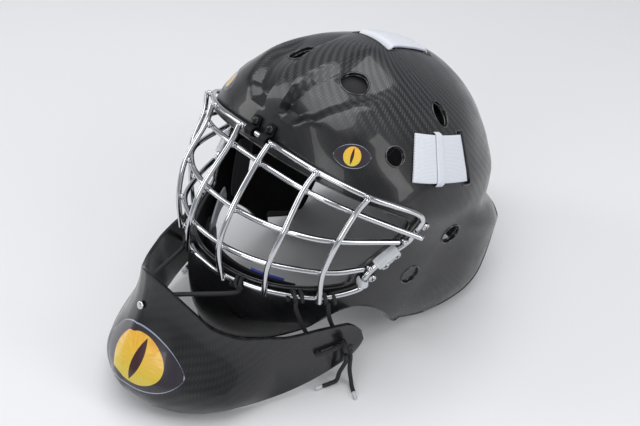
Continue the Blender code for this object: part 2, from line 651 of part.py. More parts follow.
def add_straps(frame, elastic):
    outside, inside = GAP + STRAP_THICK / 2 + .0001, -(SHELL_WALL + 3 * GAP + STRAP_THICK / 2)
    across = np.linspace(-STRAP_WIDTH / 2, STRAP_WIDTH / 2, 5)
    front, rear = CROWN_SLOTS
    rows = [front - .012, front - .008, front - .0040, front + .0035, front + .012, (front + rear) / 2,
            rear - .012, rear - .0035, rear + .0040, rear + .010, rear + .022, rear + .034, rear + .046,
            rear + .056, rear + .066]
    surface = [np.stack([across, 0 * across + y, top_of_shell(across, y)], -1) for y in rows]
    lifts = [inside] * 3 + [outside + .0002] * 5 + [inside] * 7
    add_band("crown_strap", np.array(surface), lifts, frame, elastic)
    turns = [67.5, 75, 83, 91, 97, SIDE_SLOT[0] + .9, SIDE_SLOT[1] - .9, 112, 122, 132, 142, 150, 157]
    lifts = [outside] * 6 + [inside] * 7
    for side, word in SIDES:
        grid_z, grid_turn = np.meshgrid(np.linspace(*SIDE_STRAP, 5), side * np.radians(turns))
        add_band(f"side_strap_{word}", shell_point(grid_turn, grid_z, plain=True), lifts, frame, elastic)
        grid_z, grid_turn = np.meshgrid(np.linspace(*LOWER_STRAP, 4), np.radians(np.linspace(124, 149, 7)))
        base = shell_point(grid_turn, grid_z, plain=True)
        relief = shell_point(grid_turn, grid_z) - base
        surface = base + relief * (1 - smoothstep(2.05, 2.35, grid_turn))[..., None]
        add_band(f"lower_strap_{word}", surface * (side, 1, 1), [inside] * 7, frame, elastic)
        sling = [np.array([shell_point(side * math.radians(turn), z + shift, plain=True)
                           for shift in (-SLING_WIDTH / 2, 0, SLING_WIDTH / 2)]) for turn, z, _ in CHIN_SLING]
        add_band(f"chin_sling_{word}", np.array(sling), [-depth for _, _, depth in CHIN_SLING], frame, elastic)


# ---------------------------------------------------------------- back plate
def add_back_plate(pivot, plastic, foam):
    heights = np.array(PLATE_OUTLINE)[:, 0]
    reach = np.array(PLATE_OUTLINE)[:, 1]
    levels = np.linspace(heights[0], heights[-1], 13)
    half = smooth_table(heights, reach)(levels)
    for name, inset, near, far, finish in (("back_plate", 0, 0, SHELL_WALL, plastic),
                                           ("back_plate_pad", .009, .0074, .0165, foam)):
        keep = levels[1:-1] if inset else levels
        wide = (half[1:-1] if inset else half) - inset
        skins = []
        for depth in (near, far):
            x = wide[:, None] * np.linspace(-1, 1, 13)[None]
            z = np.broadcast_to(keep[:, None], x.shape)
            turn = np.arctan2(x, widest_y(z) - rear_of_shell(x, z))
            skins.append(shell_point(turn, z, depth, plain=True))
        add_slab(name, skins[0], skins[1], pivot, finish)


# ---------------------------------------------------------------- throat guard and its laces
def guard_half(t, count):
    """Points from the middle to the left end, on the line that is a share t of the way down the guard."""
    top, bottom = smooth_path(GUARD_TOP, count), smooth_path(GUARD_BOTTOM, count)
    out = np.cross(bottom - top, np.gradient(top + bottom, axis=0))
    out /= np.linalg.norm(out, axis=1, keepdims=True)
    swell = np.interp(np.linspace(0, 1, count), *np.transpose(GUARD_BULGE)) * math.sin(math.pi * t**GUARD_BULGE_LOW)
    return top + (bottom - top) * t + out * swell[:, None]


def guard_point(s, t):
    """A point of the guard's outer face: s from -1 (right end) to 1, t from 0 (top) to 1."""
    row = guard_half(t, 81)
    at = np.linspace(0, 1, 81)
    point = np.array([np.interp(abs(s), at, row[:, k]) for k in range(3)])
    return point * (1 if s >= 0 else -1, 1, 1)


def guard_grid(rows=6, columns=29):
    """The guard's outer face, its ends drawn together into a round."""
    grid = np.empty((rows, columns, 3))
    for j, s in enumerate(np.linspace(-1, 1, columns)):
        over = max(0, (abs(s) - GUARD_END) / (1 - GUARD_END))
        spread = max(.35, math.sqrt(max(0, 1 - over**2)))
        for i, t in enumerate(np.linspace(.5 - spread / 2, .5 + spread / 2, rows)):
            grid[i, j] = guard_point(s, t)
    grid[..., 2] = np.maximum(grid[..., 2], -MASK_HEIGHT)
    return grid


def guard_normal(s, t):
    """The guard's outward direction."""
    along = guard_point(s + .01, t) - guard_point(s - .01, t)
    down = guard_point(s, min(t + .05, 1)) - guard_point(s, max(t - .05, 0))
    normal = np.cross(down, along)
    return normal / np.linalg.norm(normal) * (-1 if normal[1] > 0 else 1)


def add_guard(pivot, finish):
    outer = guard_grid()
    normal = np.cross(np.gradient(outer, axis=0), np.gradient(outer, axis=1))
    normal /= np.linalg.norm(normal, axis=-1, keepdims=True)
    normal *= np.sign((normal * (outer - (0, -.05, -.06))).sum(-1, keepdims=True))
    inner = outer - normal * GUARD_WALL
    inner[..., 2] = np.maximum(inner[..., 2], -MASK_HEIGHT)
    guard = add_slab("throat_guard", outer, inner, pivot, finish)
    for name, s, t in GUARD_HOLES:
        for side, word in SIDES:
            centre = guard_point(side * s, t)
            cut(guard, hole_cutter(f"{name}_{word}_cutter", centre, guard_normal(side * s, t), LACE_HOLE,
                                   pivot, sides=10))


def over_chin_wire(x, drop=0.0):
    """A lace's place over the chin wire, relative to the face centre, or this much lower down."""
    away = WIRE_STANDOFF + WIRE_RADIUS + LACE_RADIUS + .0008
    return tilt(off_front(x, CHIN_Z + CHIN_RISE * x**2 - drop, away))


def centre_lace():
    """From the chin wire, down inside the guard's middle and back up."""
    reach = GUARD_WALL + LACE_RADIUS + .0020
    left = [over_chin_wire(.033), over_chin_wire(.033, .008)]
    left += [guard_point(s, t) - guard_normal(s, t) * reach for s, t in ((.09, .10), (.06, .18))]
    lowest = guard_point(0, RIVET_PLACE) - guard_normal(0, RIVET_PLACE) * reach
    return left + [lowest] + [p * (-1, 1, 1) for p in reversed(left)]


def side_lace():
    """A loop: from the chin wire through the inner hole, across the guard's face and back through the outer."""
    legs = []
    for x, (_, s, t) in zip((.070, .084), GUARD_HOLES):
        hole, normal = guard_point(s, t), guard_normal(s, t)
        low = over_chin_wire(x, .008)
        legs.append([over_chin_wire(x), low, (low + hole - normal * .009) / 2 - (.003, 0, 0),
                     hole - normal * .0090, hole, hole + normal * .0030])
    return legs[0] + legs[1][::-1]


def tilt(point):
    """A point of the mask's upright frame, in the standing frame."""
    return np.array(Matrix.Rotation(-PITCH, 3, "X") @ Vector(point))


def knot_centre():
    """The knot sits on the guard's face, over the lace at the outer hole."""
    return guard_point(*GUARD_HOLES[1][1:]) + guard_normal(*GUARD_HOLES[1][1:]) * (.0032 + LACE_RADIUS + GAP)


def tail_route(aside, middle):
    """A loose end: out of the knot, down past the guard's lower edge, and along the floor to its tip."""
    start = knot_centre() + guard_normal(*GUARD_HOLES[1][1:]) * KNOT_HEIGHT / 2
    start += (0, aside, -KNOT_RADIUS - GAP)
    floor = LACE_RADIUS + .0002 - MASK_HEIGHT
    return [start, start + (.0005, 0, -.008)] + [(x, y, floor + lift) for x, y, lift in middle]


def add_laces(stand_frame, pivot, cord, tip):
    """Laces tie the guard to the cage's chin wire; each side ends in a knot with two loose ends."""
    add_tube("lace_centre", smooth_path(centre_lace(), 30), LACE_RADIUS, stand_frame, cord)
    for side, word in SIDES:
        turned = (side, 1, 1)
        add_tube(f"lace_{word}", smooth_path(side_lace(), 34) * turned, LACE_RADIUS, stand_frame, cord)
        knot = knot_centre() * turned
        normal = guard_normal(side * GUARD_HOLES[1][1], GUARD_HOLES[1][2])
        add_disc(f"lace_knot_{word}", knot, normal, KNOT_RADIUS, KNOT_HEIGHT, pivot, cord)
        for end, (aside, middle) in TAILS.items():
            path = smooth_path(tail_route(aside, middle), 16) * turned
            add_tube(f"lace_tail_{end}_{word}", path, LACE_RADIUS, pivot, cord)
            along = (path[-1] - path[-2]) / np.linalg.norm(path[-1] - path[-2])
            start = path[-1] + along * GAP
            add_disc(f"lace_tip_{end}_{word}", start, along, LACE_RADIUS, TIP_LENGTH, pivot, tip, sides=8)


# ---------------------------------------------------------------- the whole mask
def main():
    clear_scene()
    composite = material("black_composite", (.015, .015, .018), .28)
    chrome = material("chromed_wire", (.80, .80, .82), .12, 1)
    steel = material("screw_steel", (.60, .60, .62), .3, 1)
    clear = material("clear_plastic", (.72, .75, .78), .25)
    plastic = material("liner_plastic", (.10, .10, .11), .5)
    foam = material("foam", (.03, .03, .035), .9)
    lining = material("sweatband_cloth", (.05, .05, .06), .95)
    elastic = material("white_elastic", (.82, .84, .87), .85)
    cord = material("black_cord", (.02, .02, .02), .9)

    stand_frame = add_empty("stand_frame", (0, MASK_SHIFT, MASK_HEIGHT))
    mask_frame = add_empty("mask_frame", (0, 0, 0), stand_frame, -PITCH)
    plate_pivot = add_empty("back_plate_pivot", PLATE_HINGE, mask_frame)
    guard_pivot = add_empty("throat_guard_pivot", GUARD_HINGE, stand_frame)

    add_shell(mask_frame, composite)
    add_cage(mask_frame, chrome)
    add_clips(mask_frame, clear, steel)
    add_pads(mask_frame, foam, lining, plastic)
    add_straps(mask_frame, elastic)
    add_back_plate(plate_pivot, composite, foam)
    add_guard(guard_pivot, composite)
    add_disc("guard_rivet", guard_point(0, RIVET_PLACE) + guard_normal(0, RIVET_PLACE) * 3 * GAP,
             guard_normal(0, RIVET_PLACE), .0035, .0014, guard_pivot, steel)
    add_laces(stand_frame, guard_pivot, cord, clear)


main()
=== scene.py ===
# %% [markdown]
# # A goalie mask around its mechanical frame
# The mask stands on its jaw and its throat guard, leaning back. Each plain solid of the frame
# gets a finished piece of the same size, with its material, and rides on the same moving body.

# %% Tools and the frame
import math

import bmesh
import bpy
import numpy as np
from mathutils import Matrix, Vector


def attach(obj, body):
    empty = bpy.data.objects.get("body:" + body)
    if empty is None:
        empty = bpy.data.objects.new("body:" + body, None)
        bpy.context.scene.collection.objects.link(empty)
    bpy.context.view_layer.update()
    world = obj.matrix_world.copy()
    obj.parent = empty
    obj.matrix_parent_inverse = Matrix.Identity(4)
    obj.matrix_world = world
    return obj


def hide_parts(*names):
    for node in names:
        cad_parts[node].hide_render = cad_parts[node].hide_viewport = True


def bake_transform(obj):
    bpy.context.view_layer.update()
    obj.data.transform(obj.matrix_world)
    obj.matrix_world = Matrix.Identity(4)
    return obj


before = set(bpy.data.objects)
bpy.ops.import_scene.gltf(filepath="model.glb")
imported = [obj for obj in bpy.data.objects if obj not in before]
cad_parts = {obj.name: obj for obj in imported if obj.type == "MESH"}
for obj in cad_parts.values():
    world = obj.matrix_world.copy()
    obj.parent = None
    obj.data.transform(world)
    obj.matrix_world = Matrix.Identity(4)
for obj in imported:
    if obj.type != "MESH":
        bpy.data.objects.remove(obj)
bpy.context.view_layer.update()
print("frame nodes", len(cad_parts))

# %% [markdown]
# The shell follows one rule: horizontal sections from chin to crown, each a rounded oval given by
# its half width, its front, its rear and how square its corners are. The same numbers shape the
# frame's solids, so the finished skin lies exactly on them.

# %% Driving dimensions, in metres
PITCH = math.radians(24)          # how far the mask leans back
MASK_HEIGHT = 0.110               # face centre above the floor
MASK_SHIFT = 0.0294               # centres the whole object over the origin
SHELL_WALL = 0.0030
GAP = 0.0004                      # clearance between touching pieces
WIRE_RADIUS = 0.0024
STRAP_WIDTH = 0.038
STRAP_THICK = 0.0022
GUARD_WALL = 0.0032
LACE_RADIUS = 0.0019

# The shell's horizontal sections, from the chin up to the crown, in the mask frame.
LEVELS = [-.130, -.110, -.085, -.055, -.025, .005, .022, .040, .060, .085, .105, .122, .134, .142, .147, .149]
HALF_WIDTH = [.052, .076, .096, .107, .1115, .114, .1170, .1205, .1165, .103, .089, .070, .050, .031, .014, 0]
FRONT = [-.094, -.107, -.112, -.113, -.111, -.107, -.103, -.100, -.099, -.0985, -.090, -.070, -.047, -.025,
         -.002, .018]
REAR = [.165, .170, .172, .172, .170, .167, .163, .159, .159, .151, .137, .118, .097, .075, .045, .018]
WIDEST = [.060, .060, .060, .060, .045, .030, .020, .010, .010, .010, .011, .013, .015, .017, .018, .018]
FRONT_POWER = [2.2, 2.2, 2.2, 2.2, 2.25, 2.3, 2.45, 2.6, 2.5, 2.2, 2.0, 2.0, 2.0, 2.0, 2.0, 2.0]
REAR_POWER = [2.6, 2.6, 2.6, 2.6, 2.6, 2.6, 2.6, 2.2, 2.2, 2.1, 2.0, 2.0, 2.0, 2.0, 2.0, 2.0]

# Side view (y, z) of the face opening's edge and of the shell's lower edge.
FACE_EDGE = [(-.200, .056), (-.100, .0485), (-.040, .039), (-.030, .035), (-.0265, .028), (-.0260, .013),
             (-.0345, -.004), (-.0430, -.019), (-.0460, -.029), (-.050, -.039), (-.100, -.054), (-.200, -.066)]
LOWER_EDGE = [(-.200, -.118), (-.100, -.124), (-.074, -.118), (-.058, -.098), (-.046, -.074), (-.034, -.062),
              (-.014, -.060), (.012, -.070), (.036, -.086), (.060, -.0920), (.086, -.0810), (.100, -.0735),
              (.116, -.052), (.134, -.012), (.138, .0213), (.300, .0217)]
# Rear view (x, z) of the opening that the back plate closes.
REAR_ARCH = [(.007, .1055), (.022, .103), (.042, .092), (.054, .074), (.060, .050), (.062, .024), (.076, .006),
             (.090, -.020), (.096, -.060), (.098, -.150)]

# Throat guard, half of each edge from the middle to the end, relative to the face centre.
GUARD_TOP = [(0, -.189, .018), (.010, -.187, .015), (.020, -.182, .006), (.030, -.177, -.004),
             (.040, -.172, -.014), (.050, -.167, -.024), (.060, -.159, -.030), (.070, -.149, -.034),
             (.080, -.134, -.0355), (.090, -.118, -.038), (.100, -.091, -.040), (.107, -.055, -.050)]
GUARD_BOTTOM = [(0, -.211, -.110), (.030, -.207, -.110), (.055, -.186, -.110), (.077, -.151, -.106),
                (.094, -.112, -.099), (.104, -.072, -.090), (.108, -.050, -.080)]
GUARD_BULGE = [(0, .027), (.20, .018), (.40, .0145), (.60, -.002), (1, .002)]     # swell along the half length
GUARD_BULGE_LOW = 2.2             # how far down the swell peaks: 1 is half way, more is lower
GUARD_END = 0.93                  # fraction of the half length where the round end starts
GUARD_HOLES = [("lace_hole_inner", .78, .45), ("lace_hole_outer", .90, .45)]
RIVET_PLACE = .24                 # share of the way down the guard's middle
RIVET_RADIUS, RIVET_HEIGHT = .0035, .0016

# Holes through the shell on each side: heading in degrees, height, radius, stretch upwards.
SHELL_HOLES = {"forehead_vent": (28.5, .126, .0120, 1), "temple_hole": (59, .082, .0085, 1),
               "rear_top_hole": (89.5, .113, .0085, 1.4), "ear_hole_upper": (98, .016, .0100, 1),
               "ear_hole_lower": (73.5, -.025, .0095, 1)}
CROWN_SLOTS = (.0, .052)          # y of the two slots of the crown strap
SLOT_HALF = .0055
SIDE_SLOT = (100.2, 106.4)        # headings of the side strap's slot, degrees
SIDE_STRAP = (.066, .099)         # heights between which the side strap runs
LOWER_STRAP = (-.038, -.014)
SLING_WIDTH = .016
CHIN_SLING = [(29, -.072, .0136), (34, -.068, .0110), (39, -.061, .0080), (44, -.054, .0056), (48, -.050, .0046)]

# Cage. Crossbars: middle y, its square and fourth-power terms, middle z, rise. The upper one ends across the cheek
# wire.
WIRE_STANDOFF = WIRE_RADIUS + .0016
CHEEK_WIRE = [(-.0300, .0440), (-.0210, .0385), (-.0200, .0280), (-.0192, .0161), (-.0274, .0019),
              (-.0358, -.0148), (-.0386, -.0259), (-.0375, -.0370)]
BROW_X, BROW_Z, BROW_DROP = (0, .03, .062, .096, .108), .058, -.85
CHIN_X, CHIN_Z, CHIN_RISE = (.080, .052, .021, 0), -.0608, 1.5
CROSSBARS = {"upper": (-.109, .021, .023, .0415, -.008), "middle": (-.1235, .030, .028, .0015, .007),
             "lower": (-.126, .040, .040, -.032, .010)}
BUTT_ENDS = {"middle": (-.0192, .0155), "lower": (-.0358, -.0152)}     # where these bars stop at the cheek wire
UPRIGHTS = {"inner": (.018, .017, .019, .019, .021), "middle": (.062, .0605, .062, .0575, .052),
            "outer": (.096, .0935, .091, .085, .080)}
CLIP_THICK = .0014
CLIP_TAB = .0125
# Clips: middle of the wire that each holds, length, way to its tab, shares of the length where it is screwed.
CLIPS = [("top", (.0085, -.103, .058), .008, (0, 0, 1), {"top_clip": .5}),
         ("side", (.109, -.0290, -.0025), .022, (0, 1, 0), {"side_clip_upper": .2, "side_clip_lower": .8}),
         ("lower", (.101, -.0385, -.029), .006, (0, 1, 0), {"lower_clip": .5})]
SCREW_RADIUS, SCREW_HEIGHT = .0036, .0018
SCREW_REACH = .0085               # from the wire's centre to a clip's screw
CORNER_SCREW = (-.0070, .0290)

# Lining: heading and height ranges with the depths of its two faces below the shell's outer face.
PADS = [("forehead_pad", np.linspace(-48, 48, 13), np.linspace(.056, .0745, 4), .0045, .0160, "foam"),
        ("sweatband", np.linspace(-42, 42, 13), np.linspace(.058, .0725, 3), .0168, .0188, "lining"),
        ("chin_cup", np.linspace(-27, 27, 9), np.linspace(-.090, -.054, 5), .0120, .0150, "plastic"),
        ("chin_pad", np.linspace(-24, 24, 9), np.linspace(-.086, -.058, 4), .0162, .0245, "foam")]
# Back plate: half width at each height.
PLATE_OUTLINE = [(-.040, .062), (-.033, .071), (-.018, .0755), (.003, .068), (.024, .0565), (.050, .0545),
                 (.072, .0485), (.088, .0385), (.099, .0200)]

# Laces, relative to the face centre.
LACE_HOLE = .0030
KNOT_RADIUS = .0048
KNOT_HEIGHT = .0065
TIP_LENGTH = .008
# A loose end: how far to the side it leaves the knot, then its later points as x, y and how high
# the middle of the cord is above where it would lie on the floor.
TAILS = {"front": (-.0026, [(.1085, -.0790, .014), (.1065, -.0805, .003), (.1035, -.0860, 0), (.1015, -.0920, 0)]),
         "rear": (.0026, [(.1115, -.0700, .014), (.1140, -.0705, .003), (.1185, -.0735, 0), (.1235, -.0765, 0)])}
SIDES = ((1, "left"), (-1, "right"))


# %% Smooth curves through key points
def smooth_table(keys, values):
    """A monotone cubic through the key points, as a function."""
    x, y = np.array(keys, float), np.array(values, float)
    step = np.diff(x)
    slope = np.diff(y) / step
    product = slope[:-1] * slope[1:]
    total = slope[:-1] + slope[1:]
    tangent = np.empty_like(y)
    tangent[1:-1] = np.where(product > 0, 2 * product / np.where(total == 0, 1, total), 0)
    tangent[0], tangent[-1] = slope[0], slope[-1]

    def curve(at):
        at = np.clip(np.asarray(at, float), x[0], x[-1])
        i = np.clip(np.searchsorted(x, at) - 1, 0, len(step) - 1)
        t = (at - x[i]) / step[i]
        rise = y[i] * (1 + 2 * t) * (1 - t) ** 2 + y[i + 1] * t * t * (3 - 2 * t)
        return rise + step[i] * (tangent[i] * t * (1 - t) ** 2 - tangent[i + 1] * t * t * (1 - t))

    return curve


def between(a, b, c, d, t):
    """A point of the Catmull-Rom curve from b to c, a share t of the way."""
    return 0.5 * (2 * b + (c - a) * t + (2 * a - 5 * b + 4 * c - d) * t**2 + (3 * b - a - 3 * c + d) * t**3)


def smooth_path(points, count):
    """Points evenly spread along a Catmull-Rom curve through the given points."""
    p = np.array(points, float)
    p = np.vstack([2 * p[0] - p[1], p, 2 * p[-1] - p[-2]])
    dense = []
    for i in range(1, len(p) - 2):
        dense += [between(*p[i - 1:i + 3], t) for t in np.linspace(0, 1, 24, endpoint=False)]
    dense.append(p[-2])
    dense = np.array(dense)
    walked = np.concatenate([[0], np.cumsum(np.linalg.norm(np.diff(dense, axis=0), axis=1))])
    at = np.linspace(0, walked[-1], count)
    return np.column_stack([np.interp(at, walked, dense[:, k]) for k in range(dense.shape[1])])


def smoothstep(low, high, value):
    t = np.clip((value - low) / (high - low), 0, 1)
    return t * t * (3 - 2 * t)


half_width = smooth_table(LEVELS, HALF_WIDTH)
front_y = smooth_table(LEVELS, FRONT)
rear_y = smooth_table(LEVELS, REAR)
widest_y = smooth_table(LEVELS, WIDEST)
front_power = smooth_table(LEVELS, FRONT_POWER)
rear_power = smooth_table(LEVELS, REAR_POWER)


# %% The shell's surface
def base_point(turn, z):
    """The smooth shell at a heading (0 = front, +90 degrees = wearer's left) and a height."""
    turn, z = np.broadcast_arrays(np.asarray(turn, float), np.asarray(z, float))
    sine, cosine = np.sin(turn), np.cos(turn)
    ahead = cosine >= 0
    depth = np.where(ahead, widest_y(z) - front_y(z), rear_y(z) - widest_y(z)) + 1e-9
    power = np.where(ahead, front_power(z), rear_power(z))
    spread = (np.abs(sine) / (half_width(z) + 1e-9)) ** power + (np.abs(cosine) / depth) ** power
    radius = spread ** (-1 / power)
    return np.stack([radius * sine, widest_y(z) - radius * cosine, z], -1)


def scoop_depth(p):
    """How far the two vent scoops beside the crown's centre band are sunk."""
    x, y, z = np.abs(p[..., 0]), p[..., 1], p[..., 2]
    inner = np.interp(y, [-.100, -.086, -.053, -.009, .030], [.008, .009, .014, .013, .014])
    outer = np.interp(y, [-.103, -.098, -.090, -.072, -.044, .014], [.016, .027, .043, .055, .064, .066])
    across = (x - inner) / (outer - inner)
    bowl = smoothstep(0, .16, across) * (1 - smoothstep(.74, 1, across))
    return .0095 * bowl * smoothstep(.077, .086, z) * (1 - smoothstep(-.050, -.012, y))


def flare_height(p):
    """How far the jaw stands out behind the ear, below the crease."""
    y, z = p[..., 1], p[..., 2]
    crease = np.interp(y, [-.02, .13], [.046, .030])
    below = 1 - smoothstep(-.016, .004, z - crease)
    return .013 * below * smoothstep(.03, .13, y) * smoothstep(-.10, -.03, z)


def shell_point(turn, z, inwards=0.0, plain=False):
    """A point of the shell's outer face, or one set inwards from it along the surface normal."""
    turn, z = np.broadcast_arrays(np.asarray(turn, float), np.asarray(z, float))
    step = 1e-4
    low, high = np.maximum(z - step, LEVELS[0]), np.minimum(z + step, LEVELS[-1] - 1e-6)
    along = base_point(turn + step, z) - base_point(turn - step, z)
    up = base_point(turn, high) - base_point(turn, low)
    normal = np.cross(along, up)
    normal /= np.linalg.norm(normal, axis=-1, keepdims=True) + 1e-12
    p = base_point(turn, z)
    relief = 0 * z if plain else flare_height(p) - scoop_depth(p)
    return p + normal * (relief - inwards)[..., None]


def front_of_shell(x, z):
    """The y of the shell's front at a sideways place and a height."""
    reach = (1 - np.abs(x / half_width(z)) ** front_power(z)) ** (1 / front_power(z))
    return widest_y(z) - (widest_y(z) - front_y(z)) * reach


def side_of_shell(y, z):
    """The x of the shell's side at a front-to-back place and a height."""
    ahead = y < widest_y(z)
    depth = np.where(ahead, widest_y(z) - front_y(z), rear_y(z) - widest_y(z))
    power = np.where(ahead, front_power(z), rear_power(z))
    return half_width(z) * (1 - np.abs((y - widest_y(z)) / depth) ** power) ** (1 / power)


def rear_of_shell(x, z):
    """The y of the shell's rear at a sideways place and a height."""
    reach = (1 - np.abs(x / half_width(z)) ** rear_power(z)) ** (1 / rear_power(z))
    return widest_y(z) + (rear_y(z) - widest_y(z)) * reach


def top_of_shell(x, y):
    """The height of the crown over a point of the plan, found by halving."""
    x, y = np.broadcast_arrays(np.asarray(x, float), np.asarray(y, float))
    low, high = np.full(x.shape, .05), np.full(x.shape, LEVELS[-1] - 1e-6)
    for _ in range(40):
        middle = (low + high) / 2
        ahead = y < widest_y(middle)
        depth = np.where(ahead, widest_y(middle) - front_y(middle), rear_y(middle) - widest_y(middle))
        power = np.where(ahead, front_power(middle), rear_power(middle))
        spread = (np.abs(x) / half_width(middle)) ** power
        inside = spread + (np.abs(y - widest_y(middle)) / depth) ** power < 1
        low, high = np.where(inside, middle, low), np.where(inside, high, middle)
    return low


def off_front(x, z, away):
    """A point standing off the shell's front, at a sideways place and a height."""
    return shell_point(np.arctan2(x, widest_y(z) - front_of_shell(x, z)), z, -away, plain=True)


def off_side(y, z, away):
    """A point standing off the shell's left side, at a front-to-back place and a height."""
    return shell_point(np.arctan2(side_of_shell(y, z), widest_y(z) - y), z, -away, plain=True)

# %% [markdown]
# The drawings are made in the mask's upright frame. Two small helpers carry points from there, and
# from the standing frame of the throat guard, to their final place over the floor.

# %% From the drawing frames to the floor
TILT = np.array(Matrix.Rotation(-PITCH, 3, "X"))
LIFT = np.array([0, MASK_SHIFT, MASK_HEIGHT])


def placed(points):
    """Mask-frame points, pitched back and set down."""
    return np.asarray(points, float) @ TILT.T + LIFT


def standing(points):
    """Points drawn relative to the face centre, set over the floor."""
    return np.asarray(points, float) + LIFT


# %% [markdown]
# ## Finishes
# Effects that several materials share are node groups: the fibre twill under the clear coat with a
# painted sheen on its tows, the weave of the webbing and cords with painted shade between its threads,
# and a fine wear that varies the gloss.

# %% Helpers for building shaders
def node(tree, kind, **settings):
    made = tree.nodes.new(kind)
    for key, value in settings.items():
        setattr(made, key, value)
    return made


def math_node(tree, operation, first, second=None):
    made = node(tree, "ShaderNodeMath", operation=operation)
    for slot, value in zip(made.inputs, (first, second)):
        if value is None:
            continue
        if isinstance(value, (int, float)):
            slot.default_value = value
        else:
            tree.links.new(value, slot)
    return made.outputs[0]


def mix_colour(tree, share, first, second):
    made = node(tree, "ShaderNodeMix", data_type="RGBA")
    for slot, value in zip((made.inputs[0], made.inputs[6], made.inputs[7]), (share, first, second)):
        if isinstance(value, (int, float)):
            slot.default_value = value
        elif isinstance(value, tuple):
            slot.default_value = (*value, 1)
        else:
            tree.links.new(value, slot)
    return made.outputs[2]


def new_group(name, inputs, outputs):
    tree = bpy.data.node_groups.new(name, "ShaderNodeTree")
    for socket, kind, value in inputs:
        made = tree.interface.new_socket(socket, in_out="INPUT", socket_type=kind)
        if value is not None:
            made.default_value = value
    for socket, kind in outputs:
        tree.interface.new_socket(socket, in_out="OUTPUT", socket_type=kind)
    return tree, tree.nodes.new("NodeGroupInput"), tree.nodes.new("NodeGroupOutput")


def use_group(tree, group, **values):
    made = node(tree, "ShaderNodeGroup", node_tree=group)
    for key, value in values.items():
        slot = made.inputs[key]
        if isinstance(value, (int, float)):
            slot.default_value = value
        else:
            tree.links.new(value, slot)
    return made


# %% Twill weave: tows two over, two under, each one a rounded ridge with a painted sheen along its crest
def make_twill():
    tree, enter, leave = new_group("twill", [("Place", "NodeSocketVector", None), ("Tow", "NodeSocketFloat", .002)],
                                   [("Shine", "NodeSocketFloat"), ("Height", "NodeSocketFloat")])
    parts = node(tree, "ShaderNodeSeparateXYZ")
    tree.links.new(enter.outputs["Place"], parts.inputs[0])
    across = math_node(tree, "DIVIDE", parts.outputs[0], enter.outputs["Tow"])
    along = math_node(tree, "DIVIDE", parts.outputs[1], enter.outputs["Tow"])
    steps = math_node(tree, "ADD", math_node(tree, "FLOOR", across), math_node(tree, "FLOOR", along))
    over = math_node(tree, "LESS_THAN", math_node(tree, "FLOORED_MODULO", steps, 4.0), 2.0)
    ridge = [math_node(tree, "SINE", math_node(tree, "MULTIPLY", math_node(tree, "FRACT", way), math.pi))
             for way in (across, along)]
    warp = math_node(tree, "MULTIPLY", ridge[0], over)
    weft = math_node(tree, "MULTIPLY", ridge[1], math_node(tree, "SUBTRACT", 1.0, over))
    # Painted sheen: brightest along the crest of each tow on top, a quarter as bright on the tows beneath; the over
    # and under pattern is the real weave.
    tree.links.new(math_node(tree, "ADD", warp, math_node(tree, "MULTIPLY", weft, .25)), leave.inputs["Shine"])
    tree.links.new(math_node(tree, "ADD", warp, weft), leave.inputs["Height"])
    return tree


def make_wear():
    tree, enter, leave = new_group("wear", [("Scale", "NodeSocketFloat", 60.0), ("Low", "NodeSocketFloat", .1),
                                            ("High", "NodeSocketFloat", .2)], [("Roughness", "NodeSocketFloat")])
    place = node(tree, "ShaderNodeTexCoord")
    noise = node(tree, "ShaderNodeTexNoise")
    noise.inputs["Detail"].default_value = 4
    tree.links.new(place.outputs["Object"], noise.inputs["Vector"])
    tree.links.new(enter.outputs["Scale"], noise.inputs["Scale"])
    spread = node(tree, "ShaderNodeMapRange")
    tree.links.new(noise.outputs["Fac"], spread.inputs["Value"])
    spread.inputs["From Min"].default_value = .35
    spread.inputs["From Max"].default_value = .65
    tree.links.new(enter.outputs["Low"], spread.inputs["To Min"])
    tree.links.new(enter.outputs["High"], spread.inputs["To Max"])
    tree.links.new(spread.outputs[0], leave.inputs["Roughness"])
    return tree


def make_webbing():
    """Ribs across a strap or round a cord, crossed by fine threads, with painted shade in the hollows between them.
    """
    tree, enter, leave = new_group("webbing", [("Place", "NodeSocketVector", None), ("Rib", "NodeSocketFloat", .0011),
                                               ("Thread", "NodeSocketFloat", .0009)],
                                   [("Height", "NodeSocketFloat"), ("Shade", "NodeSocketFloat")])
    parts = node(tree, "ShaderNodeSeparateXYZ")
    tree.links.new(enter.outputs["Place"], parts.inputs[0])
    across = math_node(tree, "DIVIDE", parts.outputs[0], enter.outputs["Thread"])
    along = math_node(tree, "DIVIDE", parts.outputs[1], enter.outputs["Rib"])
    half = math_node(tree, "MULTIPLY", math_node(tree, "FLOORED_MODULO", math_node(tree, "FLOOR", across), 2.0), .5)
    bump = [math_node(tree, "ABSOLUTE", math_node(tree, "SINE", math_node(tree, "MULTIPLY", way, math.pi)))
            for way in (across, math_node(tree, "ADD", along, half))]
    height = math_node(tree, "MULTIPLY", bump[0], bump[1])
    tree.links.new(height, leave.inputs["Height"])
    # Painted shade: the colour darkens in the hollows between threads.
    tree.links.new(math_node(tree, "POWER", height, .6), leave.inputs["Shade"])
    return tree


TWILL, WEAR, WEBBING = make_twill(), make_wear(), make_webbing()
print("node groups", [group.name for group in (TWILL, WEAR, WEBBING)])


# %% Materials of the mask
def start_material(name, colour, roughness=.5, metallic=0.0, coat=0.0):
    made = bpy.data.materials.new(name)
    made.use_nodes = True
    shader = made.node_tree.nodes["Principled BSDF"]
    shader.inputs["Base Color"].default_value = (*colour, 1)
    shader.inputs["Roughness"].default_value = roughness
    shader.inputs["Metallic"].default_value = metallic
    shader.inputs["Coat Weight"].default_value = coat
    shader.inputs["Coat Roughness"].default_value = .05
    made.diffuse_color = (*colour, 1)
    return made, made.node_tree, shader


def bump_from(tree, shader, height, strength, distance):
    bump = node(tree, "ShaderNodeBump")
    bump.inputs["Strength"].default_value = strength
    bump.inputs["Distance"].default_value = distance
    tree.links.new(height, bump.inputs["Height"])
    tree.links.new(bump.outputs[0], shader.inputs["Normal"])


